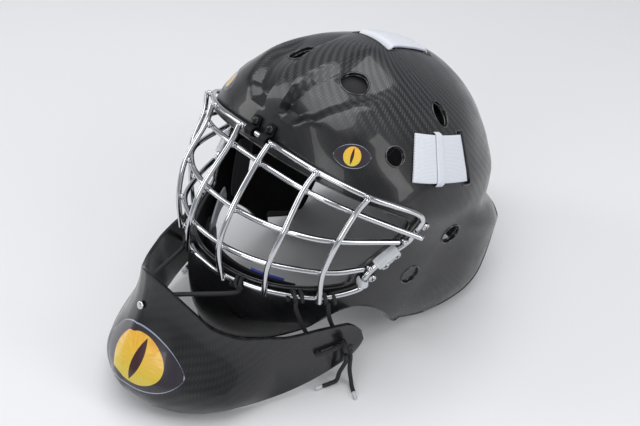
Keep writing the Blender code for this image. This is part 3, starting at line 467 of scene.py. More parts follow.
def worn(tree, shader, scale, low, high):
    tree.links.new(use_group(tree, WEAR, Scale=scale, Low=low, High=high).outputs[0], shader.inputs["Roughness"])


def composite(name, strength, tow=.0026):
    """Black fibre composite under clear coat, lightened where the weave's painted sheen falls; strength says how much
    of that painted sheen shows.
    """
    made, tree, shader = start_material(name, (.012, .012, .014), .3, coat=.35)
    shader.inputs["Specular IOR Level"].default_value = .35
    uv = node(tree, "ShaderNodeUVMap", uv_map="surface")
    twill = use_group(tree, TWILL, Place=uv.outputs[0], Tow=tow)
    sheen_mask = node(tree, "ShaderNodeAttribute", attribute_name="weave")
    share = math_node(tree, "MULTIPLY", math_node(tree, "MULTIPLY", twill.outputs["Shine"], sheen_mask.outputs["Fac"]),
                      strength)
    # Painted sheen: the base colour runs from near black to grey with the twill's sheen and its mask.
    tree.links.new(mix_colour(tree, share, (.006, .006, .007), (.060, .062, .067)), shader.inputs["Base Color"])
    worn(tree, shader, 45.0, .26, .40)
    return made


def plain(name, colour, low, high, scale=60.0, metallic=0.0, coat=0.0, dull=False):
    made, tree, shader = start_material(name, colour, high, metallic, coat)
    if dull:
        shader.inputs["Specular IOR Level"].default_value = .12
    worn(tree, shader, scale, low, high)
    return made


def webbing(name, light, dark, rib, thread, strength=.5):
    made, tree, shader = start_material(name, light, .8)
    uv = node(tree, "ShaderNodeUVMap", uv_map="surface")
    weave = use_group(tree, WEBBING, Place=uv.outputs[0], Rib=rib, Thread=thread)
    # Painted shade: the dark colour fills the hollows of the weave, the light one its threads.
    tree.links.new(mix_colour(tree, weave.outputs["Shade"], dark, light), shader.inputs["Base Color"])
    bump_from(tree, shader, weave.outputs["Height"], strength, .0004)
    return made


def foam_cloth(name, colour, pore):
    made, tree, shader = start_material(name, colour, .9)
    place = node(tree, "ShaderNodeTexCoord")
    cells = node(tree, "ShaderNodeTexVoronoi", feature="DISTANCE_TO_EDGE")
    cells.inputs["Scale"].default_value = 1 / pore
    tree.links.new(place.outputs["Object"], cells.inputs["Vector"])
    bump_from(tree, shader, cells.outputs["Distance"], .35, .0006)
    shader.inputs["Sheen Weight"].default_value = .15
    return made


BLACK_COMPOSITE = composite("black_composite", 1.0)
GUARD_COMPOSITE = composite("guard_composite", .8)
INNER_FACE = plain("shell_inner_face", (.008, .008, .009), .6, .75, dull=True)
CUT_EDGE = plain("polished_edge", (.014, .014, .016), .12, .2, coat=.6)
CHROME = plain("chromed_wire", (.60, .61, .63), .05, .11, 90.0, metallic=1.0)
STEEL = plain("screw_steel", (.62, .62, .64), .18, .32, 140.0, metallic=1.0)
# Painted shade: the screws' cross recesses are the same steel, coloured dark.
RECESS_SHADE = plain("screw_recess_shade", (.05, .05, .055), .4, .5, metallic=1.0)
LINER = plain("liner_plastic", (.010, .010, .012), .4, .5, dull=True)
BLACK_STEEL = plain("blackened_steel", (.05, .05, .055), .25, .35, 140.0, metallic=1.0)
LABEL = plain("blue_label", (.06, .09, .42), .3, .45)
# Each webbing's second colour is its painted shade between the threads.
ELASTIC = webbing("white_elastic", (.80, .82, .86), (.50, .53, .60), .0013, .0011)
CORD = webbing("black_cord", (.030, .030, .033), (.006, .006, .007), .0016, .0015, .8)
FOAM = foam_cloth("foam", (.016, .016, .019), .0012)
SWEAT_CLOTH = foam_cloth("sweatband_cloth", (.030, .030, .036), .0007)
THREAD = plain("stitch_thread", (.70, .72, .77), .7, .8)


def clear_plastic(name):
    made, tree, shader = start_material(name, (.88, .91, .94), .12)
    shader.inputs["Transmission Weight"].default_value = .55
    shader.inputs["IOR"].default_value = 1.49
    worn(tree, shader, 120.0, .10, .22)
    return made


CLEAR = clear_plastic("clear_plastic")
print("materials", len(bpy.data.materials))

# %% [markdown]
# The eyes are printed decals. Their colours follow the decal's own map: a dark lid, a pale rim, an
# iris of orange and yellow streaks, and an upright slit for a pupil.

# %% The painted eye: its slit and iris, as shares of the eye's half height
SLIT_LEAN, SLIT_REACH, SLIT_HALF = .12, .75, .14
IRIS_RADIUS = .82
LID_START, OUTLINE_START = .84, .955


def painted_eye(name):
    made, tree, shader = start_material(name, (.8, .4, .05), .25, coat=.5)
    uv = node(tree, "ShaderNodeUVMap", uv_map="surface")
    parts = node(tree, "ShaderNodeSeparateXYZ")
    tree.links.new(uv.outputs[0], parts.inputs[0])
    x, y = parts.outputs[0], parts.outputs[1]
    radius = math_node(tree, "SQRT", math_node(tree, "ADD", math_node(tree, "MULTIPLY", x, x),
                                               math_node(tree, "MULTIPLY", y, y)))
    angle = math_node(tree, "ARCTAN2", y, x)
    noise = node(tree, "ShaderNodeTexNoise")
    ring = node(tree, "ShaderNodeCombineXYZ")
    tree.links.new(math_node(tree, "MULTIPLY", angle, 3.0), ring.inputs[0])
    tree.links.new(radius, ring.inputs[1])
    tree.links.new(ring.outputs[0], noise.inputs["Vector"])
    noise.inputs["Scale"].default_value = 3.2
    iris = mix_colour(tree, noise.outputs["Fac"], (.62, .20, .02), (.88, .62, .06))
    low = node(tree, "ShaderNodeMapRange")
    tree.links.new(y, low.inputs["Value"])
    low.inputs["From Min"].default_value, low.inputs["From Max"].default_value = .5, -.6
    iris = mix_colour(tree, math_node(tree, "MULTIPLY", low.outputs[0], .7), iris, (.55, .50, .05))
    lean = math_node(tree, "SUBTRACT", x, math_node(tree, "MULTIPLY", y, SLIT_LEAN))
    share = math_node(tree, "ABSOLUTE", math_node(tree, "DIVIDE", y, SLIT_REACH))
    height = math_node(tree, "SUBTRACT", 1.0, math_node(tree, "POWER", share, 2.0))
    half = math_node(tree, "MULTIPLY", height, SLIT_HALF)
    slit = math_node(tree, "LESS_THAN", math_node(tree, "ABSOLUTE", lean), half)
    eye = mix_colour(tree, slit, iris, (.035, .004, .006))
    rim = node(tree, "ShaderNodeAttribute", attribute_name="lid")
    ball = math_node(tree, "GREATER_THAN", radius, IRIS_RADIUS)
    edge = math_node(tree, "MAXIMUM", math_node(tree, "GREATER_THAN", rim.outputs["Fac"], LID_START), ball)
    eye = mix_colour(tree, edge, eye, (.020, .014, .022))
    outline = math_node(tree, "GREATER_THAN", rim.outputs["Fac"], OUTLINE_START)
    tree.links.new(mix_colour(tree, outline, eye, (.30, .33, .42)), shader.inputs["Base Color"])
    return made


EYE = painted_eye("painted_eye")
print("materials with the eye", len(bpy.data.materials))

# %% [markdown]
# ## Making a piece
# A finished piece sits at the origin with its place in its mesh. The helpers below turn grids and
# paths into closed meshes, give them a surface map in metres, and tie them to the frame.

# %% Helpers for meshes
def new_piece(name, points, faces, materials, indices=None, uv=None, smooth=40):
    data = bpy.data.meshes.new(name)
    data.from_pydata([tuple(p) for p in np.asarray(points, float)], [], [tuple(map(int, f)) for f in faces])
    for made in materials:
        data.materials.append(made)
    if indices is not None:
        data.polygons.foreach_set("material_index", np.asarray(indices, np.int32))
    if uv is not None:
        layer = data.uv_layers.new(name="surface")
        loops = np.empty(len(data.loops), np.int32)
        data.loops.foreach_get("vertex_index", loops)
        layer.data.foreach_set("uv", np.asarray(uv, np.float32)[loops].reshape(-1))
    work = bmesh.new()
    work.from_mesh(data)
    bmesh.ops.recalc_face_normals(work, faces=work.faces)
    work.to_mesh(data)
    work.free()
    data.shade_smooth()
    data.set_sharp_from_angle(angle=math.radians(smooth))
    piece = bpy.data.objects.new(name, data)
    bpy.context.scene.collection.objects.link(piece)
    return piece


def set_values(piece, name, values):
    layer = piece.data.attributes.new(name, "FLOAT", "POINT")
    layer.data.foreach_set("value", np.asarray(values, np.float32))


def tie(piece, body, replaced=()):
    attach(piece, body)
    if replaced:
        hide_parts(*([replaced] if isinstance(replaced, str) else replaced))
    return piece


def finish_modifiers(piece):
    """Turns the modified piece into a plain mesh."""
    graph = bpy.context.evaluated_depsgraph_get()
    data = bpy.data.meshes.new_from_object(piece.evaluated_get(graph))
    piece.modifiers.clear()
    piece.data = data
    return piece


def slab_faces(rows, columns):
    """Faces of a closed slab between two grids, outer skin first."""
    index = np.arange(rows * columns).reshape(rows, columns)
    quads = np.stack([index[:-1, :-1], index[:-1, 1:], index[1:, 1:], index[1:, :-1]], -1).reshape(-1, 4)
    skin = rows * columns
    edge = np.concatenate([index[0, :], index[1:, -1], index[-1, -2::-1], index[-2:0:-1, 0]])
    after = np.roll(edge, -1)
    wall = np.stack([after, edge, edge + skin, after + skin], -1)
    return np.concatenate([quads, quads[:, ::-1] + skin, wall])


def grid_map(grid):
    """A map in metres over a grid of points: along its columns and along its rows."""
    along = np.linalg.norm(np.diff(grid, axis=1), axis=-1)
    up = np.linalg.norm(np.diff(grid, axis=0), axis=-1)
    u = np.concatenate([np.zeros((grid.shape[0], 1)), np.cumsum(along, axis=1)], axis=1)
    v = np.concatenate([np.zeros((1, grid.shape[1])), np.cumsum(up, axis=0)], axis=0)
    return np.stack([u - u[:, -1:] / 2, v], -1)


def slab_piece(name, outer, inner, materials, bevel=0.0, levels=2):
    """A closed slab with rounded edges between two grids of the same size."""
    faces = slab_faces(*outer.shape[:2])
    uv = np.concatenate([grid_map(outer).reshape(-1, 2)] * 2)
    points = np.concatenate([outer.reshape(-1, 3), inner.reshape(-1, 3)])
    piece = new_piece(name, points, faces, materials, uv=uv)
    if bevel:
        rounding = piece.modifiers.new("rounding", "BEVEL")
        rounding.width = bevel
        rounding.segments = levels
        rounding.limit_method = "ANGLE"
        rounding.angle_limit = math.radians(60)
        rounding.miter_outer = "MITER_ARC"
        finish_modifiers(piece)
        piece.data.shade_smooth()
        piece.data.set_sharp_from_angle(angle=math.radians(50))
    return piece


def ring_frames(points, closed):
    """Two directions across a path at each point, carried along without twisting."""
    ahead = np.roll(points, -1, 0) - np.roll(points, 1, 0) if closed else np.gradient(points, axis=0)
    ahead = ahead / np.linalg.norm(ahead, axis=1, keepdims=True)
    side = np.cross(ahead[0], (.123, .456, .789))
    sides = []
    for way in ahead:
        side = side - way * (side @ way)
        side = side / np.linalg.norm(side)
        sides.append(side)
    sides = np.array(sides)
    return ahead, sides, np.cross(ahead, sides)


def cord_mesh(points, radius, around=12, closed=False, round_ends=True):
    """Points, faces and a map in metres of a round wire or cord."""
    points = np.asarray(points, float)
    ahead, first, second = ring_frames(points, closed)
    radii = np.full(len(points), radius)
    if not closed and round_ends:
        turns = np.array([.0, .45, .8, 1.0]) * math.pi / 2
        lead = points[0] - ahead[0] * radius * (1 - np.sin(turns))[::1, None] + ahead[0] * radius
        tail = points[-1] + ahead[-1] * radius * (1 - np.sin(turns))[::-1, None] - ahead[-1] * radius
        points = np.vstack([lead, points[1:-1], tail])
        first = np.vstack([np.repeat(first[:1], 4, 0), first[1:-1], np.repeat(first[-1:], 4, 0)])
        second = np.vstack([np.repeat(second[:1], 4, 0), second[1:-1], np.repeat(second[-1:], 4, 0)])
        ends = np.maximum(np.sin(turns), .12) * radius
        radii = np.concatenate([ends, radii[1:-1], ends[::-1]])
    angle = np.arange(around) * math.tau / around
    rings = (points[:, None] + radii[:, None, None] * (np.cos(angle)[None, :, None] * first[:, None]
                                                       + np.sin(angle)[None, :, None] * second[:, None]))
    count = len(points)
    index = np.arange(count * around).reshape(count, around)
    if closed:
        index = np.vstack([index, index[:1]])
    wrap = np.roll(index, -1, axis=1)
    faces = [tuple(f) for f in np.stack([index[:-1], index[1:], wrap[1:], wrap[:-1]], -1).reshape(-1, 4)]
    if not closed:
        faces += [tuple(index[0]), tuple(index[-1][::-1])]
    walked = np.concatenate([[0], np.cumsum(np.linalg.norm(np.diff(points, axis=0), axis=1))])
    uv = np.stack(np.broadcast_arrays((angle * radius)[None], walked[:, None]), -1).reshape(-1, 2)
    return rings.reshape(-1, 3), faces, uv


def cord_piece(name, points, radius, materials, around=12, closed=False, round_ends=True):
    rings, faces, uv = cord_mesh(points, radius, around, closed, round_ends)
    return new_piece(name, rings, faces, materials, uv=uv, smooth=60)


def joined(meshes):
    """Several (points, faces, map) as one."""
    points, faces, uv, start = [], [], [], 0
    for p, f, m in meshes:
        points.append(p)
        uv.append(m)
        faces += [tuple(int(k) + start for k in face) for face in f]
        start += len(p)
    return np.concatenate(points), faces, np.concatenate(uv)


# %% [markdown]
# ## The shell
# The real shell is laid up over a mould and its openings are trimmed with a router. It is made the
# same way here: a whole skin with a wall, then cutters for the face, the neck, the back plate, the
# ear holes, the vents and the strap slots. Fine beads along the trimmed edges round them off.

# %% The whole skin and its wall
SKIN_SPLIT = .030                 # below this height the rings are evenly spaced, above it they close up
MEAN_RADIUS = .105                # turns headings into metres on the surface map
SKIN_TURNS, SKIN_RINGS = ((208, 110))


def skin_heights():
    low = np.linspace(LEVELS[0], SKIN_SPLIT, int(SKIN_RINGS * .45))[:-1]
    rise = np.sin(np.linspace(0, math.pi / 2, SKIN_RINGS - len(low)))
    return np.concatenate([low, SKIN_SPLIT + (LEVELS[-1] - SKIN_SPLIT) * rise])


def sheen_share(p):
    """How much of the weave's painted sheen shows: on the crown, the brow and the rear, and a little on the jaw."""
    crown = smoothstep(.085, .115, p[..., 2])
    rear = smoothstep(.02, .07, p[..., 1]) * smoothstep(.03, .06, p[..., 2])
    jaw = .35 * smoothstep(.04, .08, p[..., 1]) * smoothstep(-.02, -.05, p[..., 2])
    return np.clip(np.maximum(np.maximum(crown, rear), jaw) + .06, 0, 1)


def whole_skin():
    turns = (np.arange(SKIN_TURNS) + .5) * math.tau / SKIN_TURNS
    grid_turn, grid_z = np.meshgrid(turns, skin_heights())
    outer, inner = shell_point(grid_turn, grid_z), shell_point(grid_turn, grid_z, SHELL_WALL)
    outer[-1] = outer[-1].mean(0)
    inner[-1] = outer[-1] - (0, 0, SHELL_WALL)
    rows, columns = outer.shape[:2]
    rings = rows - 1
    points = np.concatenate([outer[:-1].reshape(-1, 3), inner[:-1].reshape(-1, 3), outer[-1:, 0], inner[-1:, 0]])
    index = np.arange(rings * columns).reshape(rings, columns)
    wrap = np.roll(index, -1, axis=1)
    skin = rings * columns
    quads = np.stack([index[:-1], wrap[:-1], wrap[1:], index[1:]], -1).reshape(-1, 4)
    faces = [tuple(q) for q in quads] + [tuple(q[::-1] + skin) for q in quads]
    top, under = 2 * skin, 2 * skin + 1
    for j in range(columns):
        a, b = index[-1, j], wrap[-1, j]
        faces += [(a, b, top), (skin + b, skin + a, under)]
        a, b = index[0, j], wrap[0, j]
        faces.append((b, a, skin + a, skin + b))
    inner_start = len(quads)
    indices = np.zeros(len(faces), int)
    indices[inner_start:2 * inner_start] = 1
    indices[2 * inner_start + 1::3] = 1
    indices[2 * inner_start + 2::3] = 2
    high = np.concatenate([[0], np.cumsum(np.linalg.norm(np.diff(outer[:, columns // 8], axis=0), axis=1))])
    flat = np.stack([np.where(grid_turn > math.pi, grid_turn - math.tau, grid_turn) * MEAN_RADIUS,
                     np.broadcast_to(high[:, None], grid_turn.shape)], -1)
    uv = np.concatenate([flat[:-1].reshape(-1, 2)] * 2 + [flat[-1:, 0]] * 2)
    return points, faces, indices, uv


skin_points, skin_faces, skin_indices, skin_map = whole_skin()
shell_skin = new_piece("shell_skin", skin_points, skin_faces, [BLACK_COMPOSITE, INNER_FACE, CUT_EDGE], skin_indices,
                       skin_map)
# The shell's share of the weave's painted sheen.
set_values(shell_skin, "weave", sheen_share(skin_points))
print("skin faces", len(skin_faces))


# %% Cutters
def cutter(name, points, faces):
    made = new_piece(name, points, faces, [CUT_EDGE, CUT_EDGE, CUT_EDGE], [2] * len(faces))
    made.hide_render = True
    return made


def prism_mesh(outline, axis, low, high):
    slot = "XYZ".index(axis)
    ends = [(*p[:slot], at, *p[slot:]) for at in (low, high) for p in outline]
    n = len(outline)
    faces = [tuple(range(n)), tuple(range(n, 2 * n))]
    return np.array(ends), faces + [(k, (k + 1) % n, (k + 1) % n + n, k + n) for k in range(n)]


def post_mesh(centre, normal, radius, stretch=1.0, sides=40, reach=.012):
    normal = Vector(normal).normalized()
    across = Vector((0, 0, 1)).cross(normal).normalized()
    rise = normal.cross(across)
    points = []
    for end in (-reach, reach):
        for k in range(sides):
            a = k * math.tau / sides
            spoke = across * radius * math.cos(a) + rise * radius * stretch * math.sin(a)
            points.append(tuple(Vector(centre) + normal * end + spoke))
    faces = [tuple(range(sides)), tuple(range(sides, 2 * sides))]
    return np.array(points), faces + [(k, (k + 1) % sides, (k + 1) % sides + sides, k + sides) for k in range(sides)]


def soft_outline(points, count=90):
    """A given outline with its corners eased."""
    return [tuple(p) for p in smooth_path(points, count)]


def cut_with(piece, name, mesh):
    tool = cutter(name, *mesh)
    modifier = piece.modifiers.new(name, "BOOLEAN")
    modifier.operation, modifier.object = "DIFFERENCE", tool
    before = len(piece.data.polygons)
    finish_modifiers(piece)
    bpy.data.objects.remove(tool, do_unlink=True)
    print(name, before, "->", len(piece.data.polygons), "faces")


def all_holes():
    meshes = []
    for turn, z, radius, stretch in SHELL_HOLES.values():
        for side, _ in SIDES:
            heading = side * math.radians(turn)
            normal = shell_point(heading, z, -1.0, plain=True) - base_point(heading, z)
            p, f = post_mesh(shell_point(heading, z), normal, radius, stretch)
            meshes.append((p, f, np.zeros((len(p), 2))))
    for y in CROWN_SLOTS:
        reach = STRAP_WIDTH / 2 + .002
        p, f = prism_mesh([(-reach, y - SLOT_HALF), (reach, y - SLOT_HALF), (reach, y + SLOT_HALF),
                           (-reach, y + SLOT_HALF)], "Z", .10, .18)
        meshes.append((p, f, np.zeros((len(p), 2))))
    for side, _ in SIDES:
        corners = [(SIDE_SLOT[0], SIDE_STRAP[0] - .003), (SIDE_SLOT[1], SIDE_STRAP[0] - .003),
                   (SIDE_SLOT[1], SIDE_STRAP[1] + .003), (SIDE_SLOT[0], SIDE_STRAP[1] + .003)]
        slot = [(float(base_point(math.radians(turn), z)[1]), z) for turn, z in corners]
        p, f = prism_mesh(slot, "X", *sorted((side * .06, side * .15)))
        meshes.append((p, f, np.zeros((len(p), 2))))
    return joined(meshes)[:2]


PAST_SIDES = .213                 # half width of the cutters that pass through both sides
ARCH_FROM, ARCH_TO = .0437, .31   # how far back the rear cutter starts and ends
arch = soft_outline(REAR_ARCH, 40)
arch = arch + [(-x, z) for x, z in reversed(arch)]
cut_with(shell_skin, "rear_cutter", prism_mesh(arch, "Y", ARCH_FROM, ARCH_TO))
cut_with(shell_skin, "face_cutter", prism_mesh(soft_outline(FACE_EDGE), "X", -PAST_SIDES, PAST_SIDES))
below = soft_outline(LOWER_EDGE[:-1]) + [LOWER_EDGE[-1], (.300, -.200), (-.200, -.200)]
cut_with(shell_skin, "lower_cutter", prism_mesh(below, "X", -PAST_SIDES, PAST_SIDES))
cut_with(shell_skin, "hole_cutters", all_holes())


# %% Beads that round the trimmed edges
BEAD_RADIUS = .00085
SHORTEST_EDGE = .02


def trimmed_loops(piece):
    """Chains of points along the edges where the outer skin or the inner face meets a cut face."""
    work = bmesh.new()
    work.from_mesh(piece.data)
    bmesh.ops.remove_doubles(work, verts=work.verts, dist=1e-5)
    loops = []
    for skin in (0, 1):
        links = {}
        for edge in work.edges:
            kinds = sorted(face.material_index for face in edge.link_faces)
            if kinds == [skin, 2]:
                a, b = edge.verts
                links.setdefault(a, []).append(b)
                links.setdefault(b, []).append(a)
        left = set(links)
        while left:
            start = left.pop()
            chain, here = [start], start
            while True:
                ways = [v for v in links[here] if v in left]
                if not ways:
                    break
                here = ways[0]
                left.discard(here)
                chain.append(here)
            if len(chain) > 5:
                loops.append((np.array([tuple(v.co) for v in chain]), start in links[here]))
    work.free()
    return loops


def eased(points, closed, step=.0022):
    """The same line with evenly spread points."""
    line = np.vstack([points, points[:1]]) if closed else points
    walked = np.concatenate([[0], np.cumsum(np.linalg.norm(np.diff(line, axis=0), axis=1))])
    count = max(6, int(walked[-1] / step))
    at = np.linspace(0, walked[-1], count, endpoint=not closed)
    return np.column_stack([np.interp(at, walked, line[:, k]) for k in range(3)])


def edge_beads(name, piece, radius, materials, move):
    loops = [(line, closed) for line, closed in trimmed_loops(piece)
             if np.linalg.norm(np.diff(line, axis=0), axis=1).sum() > SHORTEST_EDGE]
    meshes = [cord_mesh(move(eased(line, closed)), radius, 6, closed) for line, closed in loops]
    points, faces, uv = joined(meshes)
    print(name, len(loops), "edges")
    return new_piece(name, points, faces, materials, uv=uv, smooth=80)


shell_beads = edge_beads("shell_edge_beads", shell_skin, BEAD_RADIUS, [CUT_EDGE], placed)
shell_skin.data.transform(Matrix.Translation(LIFT) @ Matrix(TILT).to_4x4())
shell_skin.data.shade_smooth()
shell_skin.data.set_sharp_from_angle(angle=math.radians(35))
tie(shell_skin, "mask", "shell")
tie(shell_beads, "mask")

# %% [markdown]
# ## The cage
# A hockey cage is drawn wire, bent on formers and resistance-welded where wires cross, then
# chromed. The wires are swept along their centre lines, and a small fillet of weld sits at each
# crossing.

# %% The wires' centre lines
def bar_centre(level, x):
    """A crossbar's smooth curve: how far ahead and how high it is at a sideways place."""
    ahead, square, fourth, height, rise = CROSSBARS[level]
    u = np.abs(x) / .1
    return np.array([x, ahead + square * u**2 + fourth * u**4, height + rise * u**2])


def brow_wire(x):
    return off_front(x, BROW_Z + BROW_DROP * x**2, WIRE_STANDOFF)


def chin_wire(x):
    return off_front(x, CHIN_Z + CHIN_RISE * x**2, WIRE_STANDOFF)


def perimeter_half():
    """The perimeter wire's guide points on the wearer's left, from the brow down to the chin."""
    brow = [brow_wire(x) for x in BROW_X]
    cheek = [off_side(y, z, WIRE_STANDOFF) for y, z in CHEEK_WIRE]
    return brow + cheek + [chin_wire(x) for x in CHIN_X]


def plan_normal(path_at, x):
    """The forward normal, in plan, of a wire whose centre is path_at(x)."""
    step = path_at(x + 1e-4) - path_at(x - 1e-4)
    normal = np.array([step[1], -step[0], 0])
    return normal / np.linalg.norm(normal)


def perimeter_path(steps):
    """The closed perimeter wire's centre line, with this many points from one guide point to the next."""
    left = perimeter_half()
    guide = np.array(left + [p * (-1, 1, 1) for p in reversed(left[1:-1])])
    rolled = [np.roll(guide, shift, axis=0) for shift in (1, 0, -1, -2)]
    return np.stack([between(*rolled, k / steps) for k in range(steps)], axis=1).reshape(-1, 3)


# %% Wires and welds
def weld_mesh(centre, radius=.0021):
    """A small flattened bead where two wires are welded."""
    work = bmesh.new()
    bmesh.ops.create_uvsphere(work, u_segments=10, v_segments=6, radius=1)
    points = np.array([tuple(v.co) for v in work.verts])
    faces = [tuple(v.index for v in f.verts) for f in work.faces]
    work.free()
    return np.array(centre) + points * radius * np.array((1.5, 1.0, 1.5)), faces, points[:, :2] * radius


def cage_wires():
    wires = {"cage_perimeter": (perimeter_path(8), True)}
    layer = 2 * WIRE_RADIUS + 2 * GAP
    for level in CROSSBARS:
        half = [bar_centre(level, x) for x in (0, .03, .06, .088)]
        if level in BUTT_ENDS:
            y, z = BUTT_ENDS[level]
            half += [off_side(y - 2 * WIRE_RADIUS - 3 * GAP, z, WIRE_STANDOFF)]
        else:
            half += [off_side(CHEEK_WIRE[2][0] + ahead, CHEEK_WIRE[2][1], WIRE_STANDOFF + layer)
                     for ahead in (-.0005, .0015)]
        path = [p * (-1, 1, 1) for p in reversed(half[1:])] + half
        wires[f"cage_crossbar_{level}"] = (smooth_path(path, 120), False)
    for spot, places in UPRIGHTS.items():
        rows = [brow_wire] + [lambda x, level=level: bar_centre(level, x) for level in CROSSBARS] + [chin_wire]
        points = [row(x) + plan_normal(row, x) * layer for row, x in zip(rows, places)]
        points = [points[0] + (0, .0002, .0015)] + points + [points[-1] + (0, .0003, -.0022)]
        for side, word in SIDES:
            wires[f"cage_upright_{spot}_{word}"] = (smooth_path(points, 70) * (side, 1, 1), False)
    return wires


for wire_name, (wire_path, wire_closed) in cage_wires().items():
    drawn = cord_piece(wire_name.replace("cage", "wire"), placed(wire_path), WIRE_RADIUS, [CHROME], 14, wire_closed)
    tie(drawn, "mask", wire_name)

welds = []
for spot, places in UPRIGHTS.items():
    rows = [brow_wire] + [lambda x, level=level: bar_centre(level, x) for level in CROSSBARS] + [chin_wire]
    for side, _ in SIDES:
        for row, x in zip(rows, places):
            joint = (row(x) + plan_normal(row, x) * (WIRE_RADIUS + GAP)) * (side, 1, 1)
            welds.append(weld_mesh(placed(joint)))
for level in BUTT_ENDS:
    y, z = BUTT_ENDS[level]
    for side, _ in SIDES:
        joint = off_side(y - WIRE_RADIUS - GAP, z, WIRE_STANDOFF) * (side, 1, 1)
        welds.append(weld_mesh(placed(joint), .0024))
weld_points, weld_faces, weld_map = joined(welds)
cage_welds = new_piece("cage_welds", weld_points, weld_faces, [CHROME], uv=weld_map, smooth=80)
tie(cage_welds, "mask")
print("welds", len(welds))

# %% [markdown]
# ## Clips and screws
# Plastic saddles, black at the brow and clear at the sides, hook over the perimeter wire and are
# screwed to the shell. Each screw has a low domed head with a cross recess, pressed in by a cutter.

# %% Saddle clips
def saddle_section(tab):
    """A clip's section: a tab on the shell and a hook over the wire, in (away from wire, outwards)."""
    inner = WIRE_RADIUS + 2 * GAP
    outer = inner + CLIP_THICK
    low = GAP - WIRE_STANDOFF
    section = [(tab, low), (tab, low + CLIP_THICK), (outer, low + CLIP_THICK)]
    section += [(outer * math.cos(a), outer * math.sin(a)) for a in np.linspace(0, math.pi, 7)]
    section += [(-outer, low), (-inner, low)]
    section += [(inner * math.cos(a), inner * math.sin(a)) for a in np.linspace(math.pi, 0, 7)]
    return section + [(inner, low)]


def clip_axes(points, normals, away):
    """At each point of a held stretch of wire, the unit directions towards the clip's tab and off the shell."""
    normals = normals / np.linalg.norm(normals, axis=1, keepdims=True)
    across = np.cross(np.gradient(points, axis=0), normals)
    across *= np.sign(across @ away)[:, None] / np.linalg.norm(across, axis=1, keepdims=True)
    return across, normals


def stretch_of_wire(middle, length, count):
    """A stretch of the perimeter wire around a place, with the way the shell faces at each of its points."""
    wire = perimeter_path(24)
    walked = np.concatenate([[0], np.cumsum(np.linalg.norm(np.diff(wire, axis=0), axis=1))])
    nearest = walked[int(np.argmin(np.linalg.norm(wire - middle, axis=1)))]
    at = np.linspace(nearest - length / 2, nearest + length / 2, count)
    points = np.column_stack([np.interp(at, walked, wire[:, k]) for k in range(3)])
    turns = np.arctan2(points[:, 0], widest_y(points[:, 2]) - points[:, 1])
    normals = shell_point(turns, points[:, 2], -1.0, plain=True) - base_point(turns, points[:, 2])
    return points, normals


def clip_piece(name, points, across, normals, finish):
    section = saddle_section(CLIP_TAB)
    corners = np.array([[p + a * s + n * h for s, h in section] for p, a, n in zip(points, across, normals)])
    count = len(section)
    faces = [tuple(range(count)), tuple(range((len(points) - 1) * count, len(points) * count))]
    for i in range(len(points) - 1):
        for k in range(count):
            a, b = i * count + k, i * count + (k + 1) % count
            faces.append((a, b, b + count, a + count))
    made = new_piece(name, placed(corners.reshape(-1, 3)), faces, [finish])
    rounding = made.modifiers.new("rounding", "BEVEL")
    rounding.width, rounding.segments, rounding.limit_method = .0004, 2, "ANGLE"
    rounding.angle_limit = math.radians(50)
    return finish_modifiers(made)


# %% Domed screws with a cross recess
def screw_piece(name, base, normal, radius, height, bare=False, metal=STEEL):
    """A domed head on its base point, its place already over the floor; a bare one has no recess."""
    rings = [(1.0, 0.0), (1.0, .35), (.93, .68), (.75, .88), (.5, .97), (.25, 1.0)]
    sides = 28
    angle = np.arange(sides) * math.tau / sides
    points = [np.stack([r * radius * np.cos(angle), r * radius * np.sin(angle), 0 * angle + h * height], -1)
              for r, h in rings]
    points = np.vstack([np.concatenate(points), [(0, 0, height * 1.01)]])
    index = np.arange(len(rings) * sides).reshape(len(rings), sides)
    wrap = np.roll(index, -1, axis=1)
    faces = [tuple(f) for f in np.stack([index[:-1], wrap[:-1], wrap[1:], index[1:]], -1).reshape(-1, 4)]
    faces += [tuple(index[0][::-1])] + [(int(index[-1, k]), int(wrap[-1, k]), len(points) - 1) for k in range(sides)]
    # The third material colours the cut cross recess with painted shade.
    made = new_piece(name, points, faces, [metal, metal, RECESS_SHADE])
    for turn in (() if bare else (0, 90)):
        long, thin = radius * .58, radius * .12
        if turn:
            long, thin = thin, long
        box = [(-long, -thin), (long, -thin), (long, thin), (-long, thin)]
        cut_with(made, "recess", prism_mesh(box, "Z", height * .45, height * 2))
    turn = Vector(normal).to_track_quat("Z", "Y").to_matrix().to_4x4()
    made.data.transform(Matrix.Translation(Vector(base)) @ turn)
    made.data.shade_smooth()
    made.data.set_sharp_from_angle(angle=math.radians(40))
    return made


